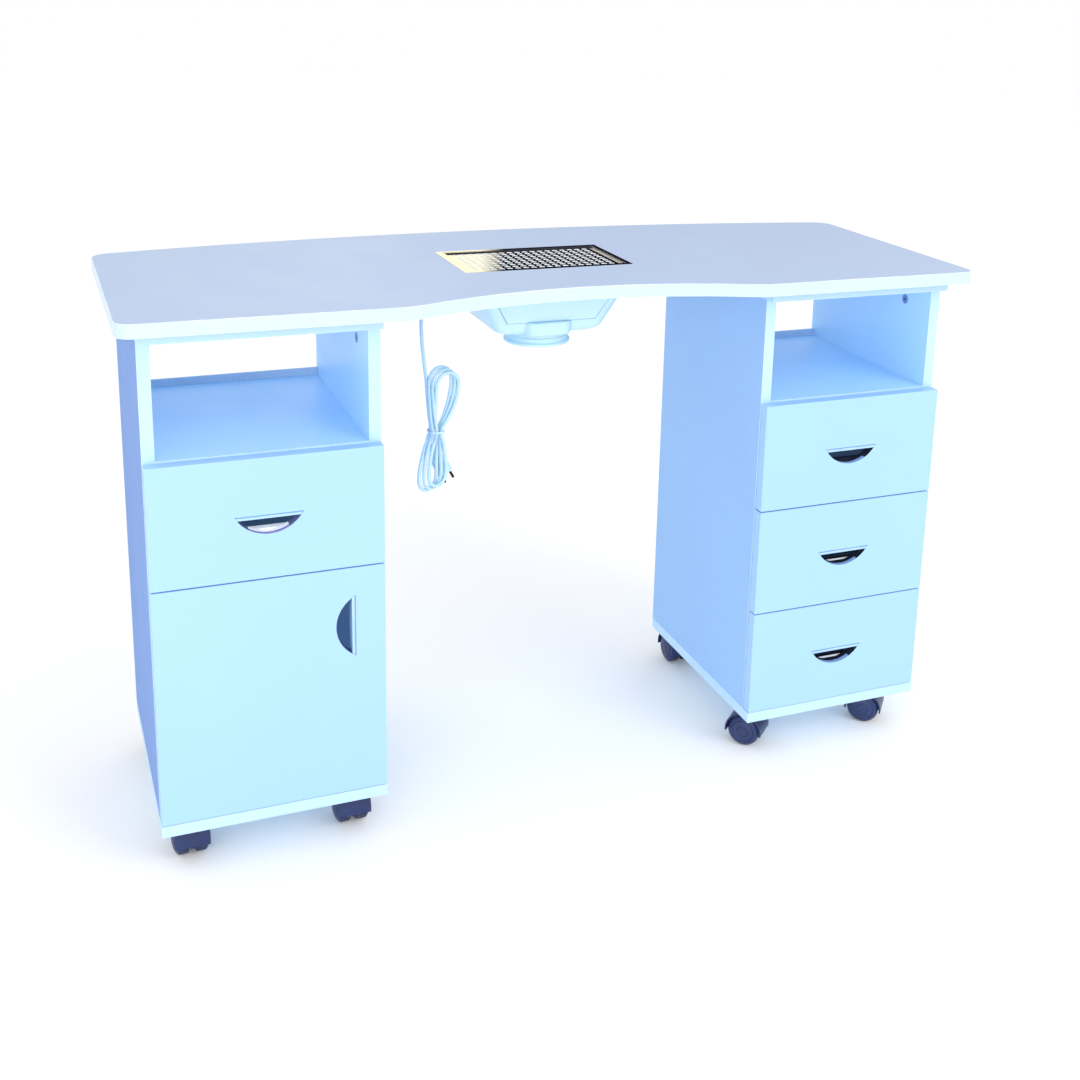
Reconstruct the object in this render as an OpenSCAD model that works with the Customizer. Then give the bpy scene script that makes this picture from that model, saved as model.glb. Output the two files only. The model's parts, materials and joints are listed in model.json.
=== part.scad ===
// Manicure table: a scooped worktop on two pedestal cabinets that roll on swivel castors.
// Left: open shelf, drawer and cupboard. Right: open shelf and three drawers.
// A dust extractor sits in the worktop. +Z is up, the drawers face -Y, the floor is z = 0.

/* [Worktop] */
// Width of the worktop
top_w = 1200; // [1160:10:1260]
// Depth of the worktop at its two ends
top_end_d = 425; // [410:5:440]
// How far the back edge bulges past its corners
back_bulge = 60; // [40:5:70]
// Thickness of the worktop board
top_t = 18; // [16:1:25]
// Depth of the scoop in the front edge
scoop_d = 51; // [35:1:60]
// Radius of the scoop
scoop_r = 620; // [500:10:800]
// Radius that blends the scoop into the front edge
scoop_blend_r = 80; // [40:10:120]
// Radius of the front corners
front_corner_r = 20; // [10:1:40]
// Radius of the back corners
back_corner_r = 30; // [10:1:40]

/* [Cabinets] */
// Width of each cabinet
cab_w = 296; // [280:1:300]
// Depth of each cabinet with its fronts
cab_d = 348; // [330:1:360]
// Height of a cabinet's side panels
side_h = 641; // [600:1:680]
// Thickness of the boards
board_t = 16; // [15:1:18]
// Width of the knee space between the cabinets
knee_w = 557; // [520:1:600]
// Distance from the worktop's front edge back to the drawer fronts
front_setback = 30; // [20:1:40]
// Height of the drawer fronts' top edge above the base board
fronts_h = 488.5; // [460:0.5:500]

/* [Drawers and door] */
// Gap between neighbouring fronts
front_gap = 2; // [1.5:0.5:3]
// Gap between a front and the cabinet behind it
back_gap = 1.6; // [1:0.1:2]
// Straight edge of a finger cut-out
grip_w = 80; // [60:1:90]
// Depth of a finger cut-out
grip_h = 21; // [15:1:30]
// Height of a drawer's side walls
tray_h = 118; // [90:1:120]
// Depth of a drawer behind its front
tray_d = 300; // [250:5:310]
// Thickness of a drawer's walls
tray_t = 12; // [10:1:14]
// Distance from the door's free edge to its finger cut-out
door_grip_inset = 44.5; // [35:0.5:60]
// Distance from the door's top edge to the middle of its cut-out
door_grip_drop = 82; // [60:1:140]

/* [Dust extractor] */
// Width of the grille's frame
vent_w = 253; // [240:1:260]
// Depth of the grille's frame
vent_d = 152; // [140:1:156]
// Distance between the grille's holes
hole_pitch = 12; // [12:0.5:14]
// Radius of one grille hole
hole_r = 4.6; // [3:0.1:5]
// Width of the housing where it meets the worktop
housing_w = 242; // [236:1:290]
// Depth that the housing hangs below the worktop
housing_h = 77; // [70:1:85]
// Outer radius of the outlet collar's lip
lip_r = 51; // [48:0.5:55]

/* [Castors] */
// Height of a castor with its plate
castor_h = 59; // [58:1:64]
// Radius of a castor wheel
wheel_r = 25; // [22:0.5:26]
// Distance from a wheel's axle to the swivel pin
trail = 18; // [14:1:20]

/* [Mains lead] */
// Diameter of the lead
lead_d = 5.5; // [5:0.1:7]

/* [Hidden] */
$fn = 64;
eps = 0.01;

// Heights, from the floor up
base_z = castor_h;
side_z = base_z + board_t;
top_board_z = side_z + side_h;
top_z = top_board_z + board_t;
table_h = top_z + top_t;

// Worktop outline
front_y = -(top_end_d + back_bulge) / 2;
end_y = front_y + top_end_d;
back_r = (top_w * top_w / 4 + back_bulge * back_bulge) / (2 * back_bulge);
back_cy = -front_y - back_r;
blend_x = sqrt(pow(scoop_r + scoop_blend_r, 2) - pow(scoop_r + scoop_blend_r - scoop_d, 2));
blend_a = asin(blend_x / (scoop_r + scoop_blend_r));
back_corner_x = top_w / 2 - back_corner_r;
back_corner_y = back_cy + sqrt(pow(back_r - back_corner_r, 2) - pow(back_corner_x, 2));
back_corner_a = atan2(back_corner_y - back_cy, back_corner_x);

// Cabinets: x is the outer left face of each
left_x = -knee_w / 2 - cab_w;
right_x = knee_w / 2;
fronts_y = front_y + front_setback;
panel_y = fronts_y + board_t + back_gap;
cab_back_y = fronts_y + cab_d;
panel_d = cab_back_y - panel_y;
bay_w = cab_w - 2 * board_t;
shelf_z = side_z + fronts_h - board_t + 1;
pitch = fronts_h / 3;
front_w = cab_w - 2;
drawer_front_h = pitch - front_gap;
door_h = 2 * pitch - front_gap;
back_t = 5;
back_lip = 11;
back_y = cab_back_y - back_t - 3;

// Drawer boxes and the rails that they slide on
rail_t = 7;
rail_h = 17;
rail_lift = 60;
rail_d = 290;
tray_side_gap = 1.5;
tray_w = bay_w - 2 * tray_side_gap;
groove_d = rail_t - tray_side_gap + 0.5;
tray_lift = 14;
bottom_t = 4;
bottom_lift = 8;
tray_front_h = drawer_front_h / 2 - grip_h - tray_lift + 1.6;

// Finger cut-outs are segments of a circle
grip_r = (grip_w * grip_w / 4 + grip_h * grip_h) / (2 * grip_h);

// Door pivots: a pin at the top and at the bottom of the door's hinged edge
pivot_r = 2.5;
pivot_clear = 0.08;
pivot_inset = 6;
pivot_x = left_x + 1 + pivot_inset;
pivot_y = fronts_y + board_t - pivot_inset;
door_z = side_z + front_gap / 2;

// Dust extractor
vent_y = 10;
vent_border = 11;
rebate_t = 2;
skirt_t = 2;
skirt_h = 12;
grille_t = 1.5;
vent_cut_w = vent_w - 16;
vent_cut_d = vent_d - 16;
grille_cols = 18;
grille_rows = 10;
housing_bottom_z = top_z - housing_h;
housing_wall = 3;
flange_t = 3;
shoulder_z = housing_bottom_z + 5;
collar_y = -10;
collar_r = 45;
collar_t = 3;
lip_t = 4;
collar_z = 630;
fan_r = 55;

// Castors: x, y of the swivel pin and the direction that the wheels trail in
pin_inset_x = 40;
pin_inset_y = 36;
castor_front_y = fronts_y + pin_inset_y;
castor_back_y = cab_back_y - pin_inset_y;
CASTORS = [
    [left_x + pin_inset_x, castor_front_y, 90],
    [left_x + cab_w - pin_inset_x, castor_front_y, 90],
    [left_x + pin_inset_x, castor_back_y, 80],
    [left_x + cab_w - pin_inset_x, castor_back_y, 100],
    [right_x + pin_inset_x, castor_front_y, 134],
    [right_x + cab_w - pin_inset_x, castor_front_y, 139],
    [right_x + pin_inset_x, castor_back_y, 90],
    [right_x + cab_w - pin_inset_x, castor_back_y, 110]
];
plate_w = 42;
plate_t = 2.5;
kingpin_r = 4;
kingpin_z = castor_h - 11;
boss_z = castor_h - 17;
axle_r = 4;
bore_clear = 0.06;
hood_gap = 1.5;
hood_t = 2.5;
hood_w = 46;
web_t = 6;
boss_r = 9;
wheel_gap = 1;
tread_w = 15;
dome_h = 6;

// Mains lead: it leaves the gland, bends down and hangs; the rest is a tied hank
gland_x = -132;
gland_y = -12;
gland_z = 712;
gland_l = 20;
gland_flange_t = 3;
hank_y = -12;
hank_top_z = 604;
hank_bottom_z = 403;
hank_waist_z = 506;
hank_t = 26;
plug_x = -133;
plug_z = 433;
plug_tilt = 28;
plug_w = 24;
plug_t = 14;
lead_sides = 8;
LEAD_ROUTE = [
    [-152, -12, 712], [-158, -12, 711], [-164, -12, 708], [-169, -12, 703],
    [-172, -12, 697], [-174, -12, 688], [-174.5, -12, 676], [-174.5, -12, 662],
    [-174, -12, 648], [-173, -11.5, 635], [-171.5, -11, 622], [-170, -10.5, 610],
    [-168.5, -10, 598], [-166.5, -10, 586], [-165, -10, 576]
];

// Helpers --------------------------------------------------------------------------

// Points on an arc about c, from angle a to angle b in n steps
function arc(c, r, a, b, n) = [for (i = [0:n]) let (t = a + (b - a) * i / n) [c[0] + r * cos(t), c[1] + r * sin(t)]];

function unit(v) = v / norm(v);

// Direction of a route at point i
function along(path, i) = unit(path[min(i + 1, len(path) - 1)] - path[max(i - 1, 0)]);

// One ring of a tube whose route stays near the XZ plane
function ring(p, dir, r, sides) =
    let (u = [0, 1, 0], v = cross(dir, u))
    [for (k = [0:sides - 1]) p + r * (cos(360 * k / sides) * u + sin(360 * k / sides) * v)];

// A round tube swept along a route as one closed polyhedron
module tube(path, r, sides) {
    n = len(path);
    points = [for (i = [0:n - 1]) each ring(path[i], along(path, i), r, sides)];
    walls = [
        for (i = [0:n - 2], k = [0:sides - 1])
            let (a = i * sides + k, b = i * sides + (k + 1) % sides)
            each [[a, a + sides, b + sides], [a, b + sides, b]]
    ];
    start = [[for (k = [0:sides - 1]) k]];
    finish = [[for (k = [sides - 1:-1:0]) (n - 1) * sides + k]];
    polyhedron(points = points, faces = concat(walls, start, finish));
}

// A board from its lowest corner
module board(x, y, z, w, d, h) {
    translate([x, y, z]) cube([w, d, h]);
}

// The solid that a finger cut-out removes: straight edge up, its middle at the origin
module grip() {
    intersection() {
        translate([0, -20, grip_r - grip_h]) rotate([-90, 0, 0]) cylinder(r = grip_r, h = 60);
        translate([-grip_w, -20, -grip_h - 5]) cube([2 * grip_w, 60, grip_h + 5]);
    }
}

// Worktop --------------------------------------------------------------------------

function half_outline() = concat(
    arc([0, front_y + scoop_d - scoop_r], scoop_r, 90, 90 - blend_a, 12),
    arc([blend_x, front_y + scoop_blend_r], scoop_blend_r, -90 - blend_a, -90, 6),
    arc([top_w / 2 - front_corner_r, front_y + front_corner_r], front_corner_r, -90, 0, 8),
    arc([back_corner_x, back_corner_y], back_corner_r, 0, back_corner_a, 8),
    arc([0, back_cy], back_r, back_corner_a, 90, 16)
);

function mirrored(points) = [for (i = [len(points) - 2:-1:1]) [-points[i][0], points[i][1]]];

module tabletop() {
    outline = half_outline();
    color([0.86, 0.87, 0.93])
    difference() {
        translate([0, 0, top_z]) linear_extrude(top_t) polygon(concat(outline, mirrored(outline)));
        board(-vent_cut_w / 2, vent_y - vent_cut_d / 2, top_z - 1, vent_cut_w, vent_cut_d, top_t + 2);
        board(-vent_w / 2, vent_y - vent_d / 2, table_h - rebate_t, vent_w, vent_d, rebate_t + 1);
    }
}

// Dust extractor -------------------------------------------------------------------

module vent_frame() {
    window_w = vent_w - 2 * vent_border;
    window_d = vent_d - 2 * vent_border;
    color([0.75, 0.72, 0.62])
    difference() {
        union() {
            board(-vent_w / 2, vent_y - vent_d / 2, table_h - rebate_t, vent_w, vent_d, rebate_t);
            board(-vent_cut_w / 2, vent_y - vent_cut_d / 2, table_h - skirt_h, vent_cut_w, vent_cut_d, skirt_h - 1);
        }
        board(-window_w / 2, vent_y - window_d / 2, table_h - skirt_h - 1, window_w, window_d, skirt_h + 2);
        board(-vent_cut_w / 2 + skirt_t, vent_y - vent_cut_d / 2 + skirt_t, table_h - skirt_h - 1,
            vent_cut_w - 2 * skirt_t, vent_cut_d - 2 * skirt_t, skirt_h + 1 - rebate_t);
    }
}

module vent_grille() {
    grille_w = vent_cut_w - 2 * skirt_t;
    grille_d = vent_cut_d - 2 * skirt_t;
    color([0.25, 0.25, 0.3])
    translate([0, vent_y, table_h - rebate_t - grille_t]) linear_extrude(grille_t)
    difference() {
        square([grille_w, grille_d], center = true);
        for (i = [0:grille_cols - 1], j = [0:grille_rows - 1])
            translate([(i - (grille_cols - 1) / 2) * hole_pitch, (j - (grille_rows - 1) / 2) * hole_pitch])
            circle(r = hole_r, $fn = 24);
    }
}

// A thin slab of the housing's tapered body at height z, grown or shrunk by g
module housing_slab(half_w, half_d, z, g) {
    translate([-half_w - g, vent_y - half_d - g, z]) cube([2 * (half_w + g), 2 * (half_d + g), 0.1]);
}

// The housing's tapered body: steep walls, then a chamfer to the flat bottom
module housing_body(g) {
    hull() {
        housing_slab(housing_w / 2 - 3, 96, top_z - flange_t, g);
        housing_slab(81, 78, shoulder_z, g);
        housing_slab(67, 70, housing_bottom_z - g, g);
    }
}

// The raised panel on the housing's front wall
module housing_panel() {
    hull() {
        housing_slab(98, 97.5, top_z - flange_t - 1, 0);
        housing_slab(66.5, 83, shoulder_z + 15, 0);
    }
}

module fan_housing() {
    color([0.9, 0.96, 1])
    difference() {
        union() {
            housing_body(0);
            housing_panel();
            board(-145, vent_y - 102, top_z - flange_t, 290, 204, flange_t);
            board(-34, vent_y - 90, housing_bottom_z, 68, 48, 21);
            board(gland_x, gland_y - 9, gland_z - 9, 30, 18, 18);
        }
        housing_body(-housing_wall);
        board(-31, vent_y - 87, housing_bottom_z + 3, 62, 48, 15);
        board(-112, vent_y - 80, top_z - 8, 224, 160, 12);
        translate([0, collar_y, housing_bottom_z - 1]) cylinder(r = collar_r - collar_t, h = housing_wall + 2);
    }
}

module outlet_collar() {
    color([0.92, 0.97, 1])
    translate([0, collar_y, 0])
    difference() {
        union() {
            translate([0, 0, collar_z]) cylinder(r = lip_r, h = lip_t);
            translate([0, 0, collar_z]) cylinder(r = collar_r, h = housing_bottom_z - collar_z);
        }
        translate([0, 0, collar_z - 1]) cylinder(r = collar_r - collar_t, h = housing_bottom_z - collar_z + 2);
    }
}

module fan_motor() {
    motor_z = housing_bottom_z + housing_wall;
    color([0.2, 0.2, 0.22])
    translate([0, collar_y, 0])
    difference() {
        union() {
            translate([0, 0, motor_z]) cylinder(r = 24, h = 26);
            for (a = [30, 150, 270])
                rotate([0, 0, a]) translate([20, -4, motor_z]) cube([31, 8, 3]);
        }
        translate([0, 0, motor_z + 6]) cylinder(r = 3 + bore_clear, h = 30);
    }
}

module fan_impeller() {
    motor_z = housing_bottom_z + housing_wall;
    hub_z = motor_z + 28;
    color([0.75, 0.78, 0.8])
    translate([0, collar_y, 0]) {
        translate([0, 0, motor_z + 7]) cylinder(r = 3, h = 24);
        translate([0, 0, hub_z]) cylinder(r = 14, h = 14);
        for (k = [0:6])
            rotate([0, 0, 360 * k / 7]) translate([12, 0, hub_z + 7]) rotate([32, 0, 0])
            translate([0, -10, -0.8]) cube([fan_r - 12, 20, 1.6]);
    }
}

module housing_screws() {
    color([0.8, 0.82, 0.85])
    for (x = [-141.8, 141.8], y = [-70, 90])
        translate([x, y, top_z - flange_t - 2]) cylinder(r = 2.8, h = 2);
}

module cord_gland() {
    color([0.92, 0.97, 1])
    translate([gland_x, gland_y, gland_z]) rotate([0, -90, 0]) {
        cylinder(r = 6.5, h = gland_flange_t);
        translate([0, 0, gland_flange_t]) cylinder(r1 = 5.4, r2 = 4, h = gland_l - gland_flange_t);
    }
}

// Cabinets -------------------------------------------------------------------------

module base_board(x) {
    color([0.86, 0.93, 1]) board(x, fronts_y, base_z, cab_w, cab_d, board_t);
}

module top_board(x) {
    color([0.86, 0.93, 1]) board(x, fronts_y, top_board_z, cab_w, cab_d, board_t);
}

// Cam locks sit in blind bores near the top and the bottom of a side panel's inner face
lock_r = 7.5;
lock_t = 12.5;
LOCK_SPOTS = [[panel_y + 65, top_board_z - 30], [cab_back_y - 60, top_board_z - 30],
    [panel_y + 60, side_z + 32], [cab_back_y - 60, side_z + 32]];

// One cam lock, or the bore for it, pointing into a panel along dir (-1 or +1)
module lock_shape(face_x, dir, spot, r, h) {
    translate([face_x, spot[0], spot[1]]) rotate([0, dir * 90, 0]) cylinder(r = r, h = h, $fn = 32);
}

module side_panel(x, face_x, dir) {
    color([0.8, 0.87, 1])
    difference() {
        board(x, panel_y, side_z, board_t, panel_d, side_h);
        for (spot = LOCK_SPOTS)
            translate([-dir * eps, 0, 0]) lock_shape(face_x, dir, spot, lock_r, lock_t);
    }
}

module shelf(x) {
    color([0.82, 0.9, 1]) board(x + board_t, panel_y, shelf_z, bay_w, back_y - panel_y, board_t);
}

module divider() {
    color([0.82, 0.9, 1])
    board(left_x + board_t, panel_y, side_z + 2 * pitch - board_t / 2, bay_w, 80, board_t);
}

module back_panel(x) {
    color([0.8, 0.88, 0.96])
    board(x + board_t, back_y, side_z, bay_w, back_t, shelf_z + board_t + back_lip - side_z);
}

module cam_locks() {
    color([0.7, 0.72, 0.75])
    for (x = [left_x, right_x], spot = LOCK_SPOTS) {
        cam_lock(x + board_t, -1, spot);
        cam_lock(x + cab_w - board_t, 1, spot);
    }
}

// A cam lock with the slot that a screwdriver turns
module cam_lock(face_x, dir, spot) {
    difference() {
        lock_shape(face_x, dir, spot, lock_r - 0.05, lock_t - 0.5);
        translate([face_x - 1.5, spot[0] - 5, spot[1] - 0.8]) cube([3, 10, 1.6]);
    }
}

// Drawers --------------------------------------------------------------------------

// Where each drawer's front starts: x of its cabinet and height
LEFT_DRAWER = [left_x, side_z + 2 * pitch + front_gap / 2];
RIGHT_DRAWERS = [for (k = [2:-1:0]) [right_x, side_z + k * pitch + front_gap / 2]];

module drawer_front(at) {
    color([0.82, 0.95, 1])
    difference() {
        board(at[0] + 1, fronts_y, at[1], front_w, board_t, drawer_front_h);
        translate([at[0] + cab_w / 2, fronts_y, at[1] + drawer_front_h / 2]) grip();
    }
}

// Two sides, the back and a low inner front whose top edge is level with the finger cut-out
module drawer_walls(at) {
    tray_x = at[0] + board_t + tray_side_gap;
    tray_y = fronts_y + board_t;
    tray_z = at[1] + tray_lift;
    groove_z = at[1] + rail_lift - 0.5;
    color([0.93, 0.95, 0.97]) {
        difference() {
            board(tray_x, tray_y, tray_z, tray_t, tray_d, tray_h);
            board(tray_x - 1, tray_y + 5, groove_z, groove_d + 1, tray_d, rail_h + 1);
        }
        difference() {
            board(tray_x + tray_w - tray_t, tray_y, tray_z, tray_t, tray_d, tray_h);
            board(tray_x + tray_w - groove_d, tray_y + 5, groove_z, groove_d + 1, tray_d, rail_h + 1);
        }
        board(tray_x + tray_t, tray_y + tray_d - tray_t, tray_z, tray_w - 2 * tray_t, tray_t, tray_h);
        board(tray_x + tray_t, tray_y, tray_z, tray_w - 2 * tray_t, tray_t, tray_front_h);
    }
}

module drawer_bottom(at) {
    tray_x = at[0] + board_t + tray_side_gap + tray_t;
    color([0.88, 0.9, 0.92])
    board(tray_x, fronts_y + board_t + tray_t, at[1] + tray_lift + bottom_lift,
        tray_w - 2 * tray_t, tray_d - 2 * tray_t, bottom_t);
}

module drawer_rails() {
    color([0.85, 0.85, 0.83])
    for (at = concat([LEFT_DRAWER], RIGHT_DRAWERS)) {
        board(at[0] + board_t, panel_y + 8, at[1] + rail_lift, rail_t, rail_d, rail_h);
        board(at[0] + cab_w - board_t - rail_t, panel_y + 8, at[1] + rail_lift, rail_t, rail_d, rail_h);
    }
}

// Door -----------------------------------------------------------------------------

module left_door() {
    x = left_x + 1;
    color([0.82, 0.95, 1])
    difference() {
        union() {
            board(x, fronts_y, door_z, front_w, board_t - pivot_inset, door_h);
            board(pivot_x, fronts_y, door_z, front_w - pivot_inset, board_t, door_h);
            translate([pivot_x, pivot_y, door_z]) cylinder(r = pivot_inset, h = door_h);
        }
        translate([pivot_x, pivot_y, door_z - 1]) cylinder(r = pivot_r + pivot_clear, h = 13);
        translate([pivot_x, pivot_y, door_z + door_h - 12]) cylinder(r = pivot_r + pivot_clear, h = 13);
        translate([x + front_w - door_grip_inset, fronts_y, door_z + door_h - door_grip_drop])
            rotate([0, 90, 0]) grip();
    }
}

// The bottom pin stands on the base board; the top pin hangs from a bracket on the divider
module door_pivots() {
    top_pin_z = door_z + door_h;
    tongue_t = front_gap - 0.8;
    color([0.7, 0.72, 0.75]) {
        translate([pivot_x, pivot_y, side_z]) cylinder(r = pivot_r, h = 12);
        translate([pivot_x, pivot_y, side_z]) cylinder(r = 5, h = 0.6);
        translate([pivot_x, pivot_y, top_pin_z - 11]) cylinder(r = pivot_r, h = 11.4 + tongue_t);
        board(pivot_x - 5, pivot_y - 5, top_pin_z + 0.4, 10, panel_y - pivot_y + 5, tongue_t);
        board(pivot_x - 5, panel_y - 1.2, top_pin_z + 0.4, 30, 1.2, 7);
    }
}

module magnetic_catch() {
    x = left_x + cab_w - board_t - 14;
    color([0.95, 0.95, 0.93])
    difference() {
        board(x, panel_y + 1, door_z + door_h - 60, 14, 24, 40);
        board(x - 1, panel_y + 0.5, door_z + door_h - 47, 6, 2, 14);
    }
}

// Castors --------------------------------------------------------------------------

module caster_plates() {
    color([0.12, 0.13, 0.2])
    for (c = CASTORS)
        translate([c[0], c[1], 0]) {
            translate([-plate_w / 2, -plate_w / 2, castor_h - plate_t]) cube([plate_w, plate_w, plate_t]);
            translate([0, 0, kingpin_z]) cylinder(r = kingpin_r, h = castor_h - kingpin_z - 1);
        }
}

// Places its children at castor c with +X along the trail and the origin on the axle
module at_axle(c) {
    translate([c[0], c[1], 0]) rotate([0, 0, c[2]]) translate([trail, 0, wheel_r]) children();
}

module caster_hood(c) {
    hood_in = wheel_r + hood_gap;
    hood_out = hood_in + hood_t;
    color([0.13, 0.16, 0.3])
    difference() {
        union() {
            at_axle(c) {
                difference() {
                    translate([0, hood_w / 2, 0]) rotate([90, 0, 0]) cylinder(r = hood_out, h = hood_w);
                    translate([0, hood_w / 2 + 1, 0]) rotate([90, 0, 0]) cylinder(r = hood_in, h = hood_w + 2);
                    translate([-40, -40, -45]) cube([80, 80, 41]);
                }
                difference() {
                    translate([0, web_t / 2, 0]) rotate([90, 0, 0]) cylinder(r = hood_in + 1, h = web_t);
                    translate([-40, -40, -49]) cube([80, 80, 41]);
                }
            }
            translate([c[0], c[1], boss_z]) cylinder(r = boss_r, h = castor_h - plate_t - 0.5 - boss_z);
        }
        translate([c[0], c[1], kingpin_z - 1]) cylinder(r = kingpin_r + bore_clear, h = 40);
        at_axle(c) translate([0, web_t, 0]) rotate([90, 0, 0]) cylinder(r = axle_r + bore_clear, h = 2 * web_t);
        at_axle(c) wheel_room();
    }
}

// The ring on each side of the web that the wheels turn in
module wheel_room() {
    inner = web_t / 2 + wheel_gap / 2;
    for (side = [0, 1])
        mirror([0, side, 0])
        translate([0, inner, 0]) rotate([-90, 0, 0]) cylinder(r = wheel_r + hood_gap, h = 30);
}

// Half of the wheel pair's profile: radius against distance from the middle
function wheel_profile() = [
    [0, 0], [axle_r, 0], [axle_r, web_t / 2 + wheel_gap], [wheel_r - 3, web_t / 2 + wheel_gap],
    [wheel_r, web_t / 2 + wheel_gap + 2], [wheel_r, web_t / 2 + wheel_gap + tread_w - 2],
    [wheel_r - 1, web_t / 2 + wheel_gap + tread_w],
    [wheel_r * 0.8, web_t / 2 + wheel_gap + tread_w + dome_h * 0.5],
    [wheel_r * 0.5, web_t / 2 + wheel_gap + tread_w + dome_h * 0.86],
    [0, web_t / 2 + wheel_gap + tread_w + dome_h]
];

module caster_wheels(c) {
    color([0.1, 0.12, 0.22])
    at_axle(c)
    for (side = [0, 1])
        mirror([0, side, 0]) rotate([-90, 0, 0]) rotate_extrude() polygon(wheel_profile());
}

// Mains lead -----------------------------------------------------------------------

module cord_lead() {
    color([0.88, 0.96, 1]) tube(LEAD_ROUTE, lead_d / 2, lead_sides);
}

// Outline of the tied hank: a wide loop above the tie and a narrower one below it
module cord_hank() {
    top_loop_r = 27;
    low_loop_r = 24;
    color([0.85, 0.94, 1])
    translate([0, hank_y + hank_t / 2, 0]) rotate([90, 0, 0]) linear_extrude(hank_t)
    union() {
        hull() {
            translate([-143, hank_top_z - top_loop_r]) circle(r = top_loop_r, $fn = 32);
            translate([-151, hank_waist_z]) circle(r = 14, $fn = 32);
        }
        hull() {
            translate([-158, hank_bottom_z + low_loop_r]) circle(r = low_loop_r, $fn = 32);
            translate([-151, hank_waist_z]) circle(r = 14, $fn = 32);
        }
    }
}

module cord_tie() {
    color([0.9, 0.97, 1])
    difference() {
        board(-167, hank_y - hank_t / 2 - 2, hank_waist_z - 4, 32, hank_t + 4, 8);
        board(-165, hank_y - hank_t / 2, hank_waist_z - 5, 28, hank_t, 10);
    }
}

// Two-pin mains plug behind the hank; the origin is its pin face, and the pins point down and right
module plug() {
    color([0.9, 0.97, 1])
    translate([plug_x, hank_y + hank_t / 2 + plug_t / 2, plug_z]) rotate([0, -plug_tilt, 0]) {
        board(-plug_w / 2, -plug_t / 2, 0, plug_w, plug_t, 32);
        translate([0, 0, 32]) cylinder(r1 = plug_t / 2, r2 = 4, h = 20);
        for (x = [-7, 7])
            translate([x, 0, -14]) cylinder(r = 2, h = 16);
    }
}

// Parts ----------------------------------------------------------------------------

tabletop();
vent_frame();
vent_grille();
fan_housing();
outlet_collar();
fan_motor();
fan_impeller();
housing_screws();
cord_gland();
base_board(left_x);  // left_base_board
side_panel(left_x, left_x + board_t, -1);  // left_outer_side
side_panel(left_x + cab_w - board_t, left_x + cab_w - board_t, 1);  // left_inner_side
top_board(left_x);  // left_top_board
shelf(left_x);  // left_shelf
divider();  // left_divider
back_panel(left_x);  // left_back_panel
base_board(right_x);  // right_base_board
side_panel(right_x + cab_w - board_t, right_x + cab_w - board_t, 1);  // right_outer_side
side_panel(right_x, right_x + board_t, -1);  // right_inner_side
top_board(right_x);  // right_top_board
shelf(right_x);  // right_shelf
back_panel(right_x);  // right_back_panel
caster_plates();
drawer_rails();
cam_locks();
door_pivots();
magnetic_catch();
left_door();
drawer_front(LEFT_DRAWER);  // left_drawer_front
drawer_walls(LEFT_DRAWER);  // left_drawer_walls
drawer_bottom(LEFT_DRAWER);  // left_drawer_bottom
drawer_front(RIGHT_DRAWERS[0]);  // right_drawer_1_front
drawer_walls(RIGHT_DRAWERS[0]);  // right_drawer_1_walls
drawer_bottom(RIGHT_DRAWERS[0]);  // right_drawer_1_bottom
drawer_front(RIGHT_DRAWERS[1]);  // right_drawer_2_front
drawer_walls(RIGHT_DRAWERS[1]);  // right_drawer_2_walls
drawer_bottom(RIGHT_DRAWERS[1]);  // right_drawer_2_bottom
drawer_front(RIGHT_DRAWERS[2]);  // right_drawer_3_front
drawer_walls(RIGHT_DRAWERS[2]);  // right_drawer_3_walls
drawer_bottom(RIGHT_DRAWERS[2]);  // right_drawer_3_bottom
caster_hood(CASTORS[0]);  // caster_1_hood
caster_wheels(CASTORS[0]);  // caster_1_wheels
caster_hood(CASTORS[1]);  // caster_2_hood
caster_wheels(CASTORS[1]);  // caster_2_wheels
caster_hood(CASTORS[2]);  // caster_3_hood
caster_wheels(CASTORS[2]);  // caster_3_wheels
caster_hood(CASTORS[3]);  // caster_4_hood
caster_wheels(CASTORS[3]);  // caster_4_wheels
caster_hood(CASTORS[4]);  // caster_5_hood
caster_wheels(CASTORS[4]);  // caster_5_wheels
caster_hood(CASTORS[5]);  // caster_6_hood
caster_wheels(CASTORS[5]);  // caster_6_wheels
caster_hood(CASTORS[6]);  // caster_7_hood
caster_wheels(CASTORS[6]);  // caster_7_wheels
caster_hood(CASTORS[7]);  // caster_8_hood
caster_wheels(CASTORS[7]);  // caster_8_wheels
cord_lead();
cord_hank();
cord_tie();
plug();
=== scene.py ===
import json
import math

import bmesh
import bpy
from mathutils import Matrix, Vector

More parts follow.
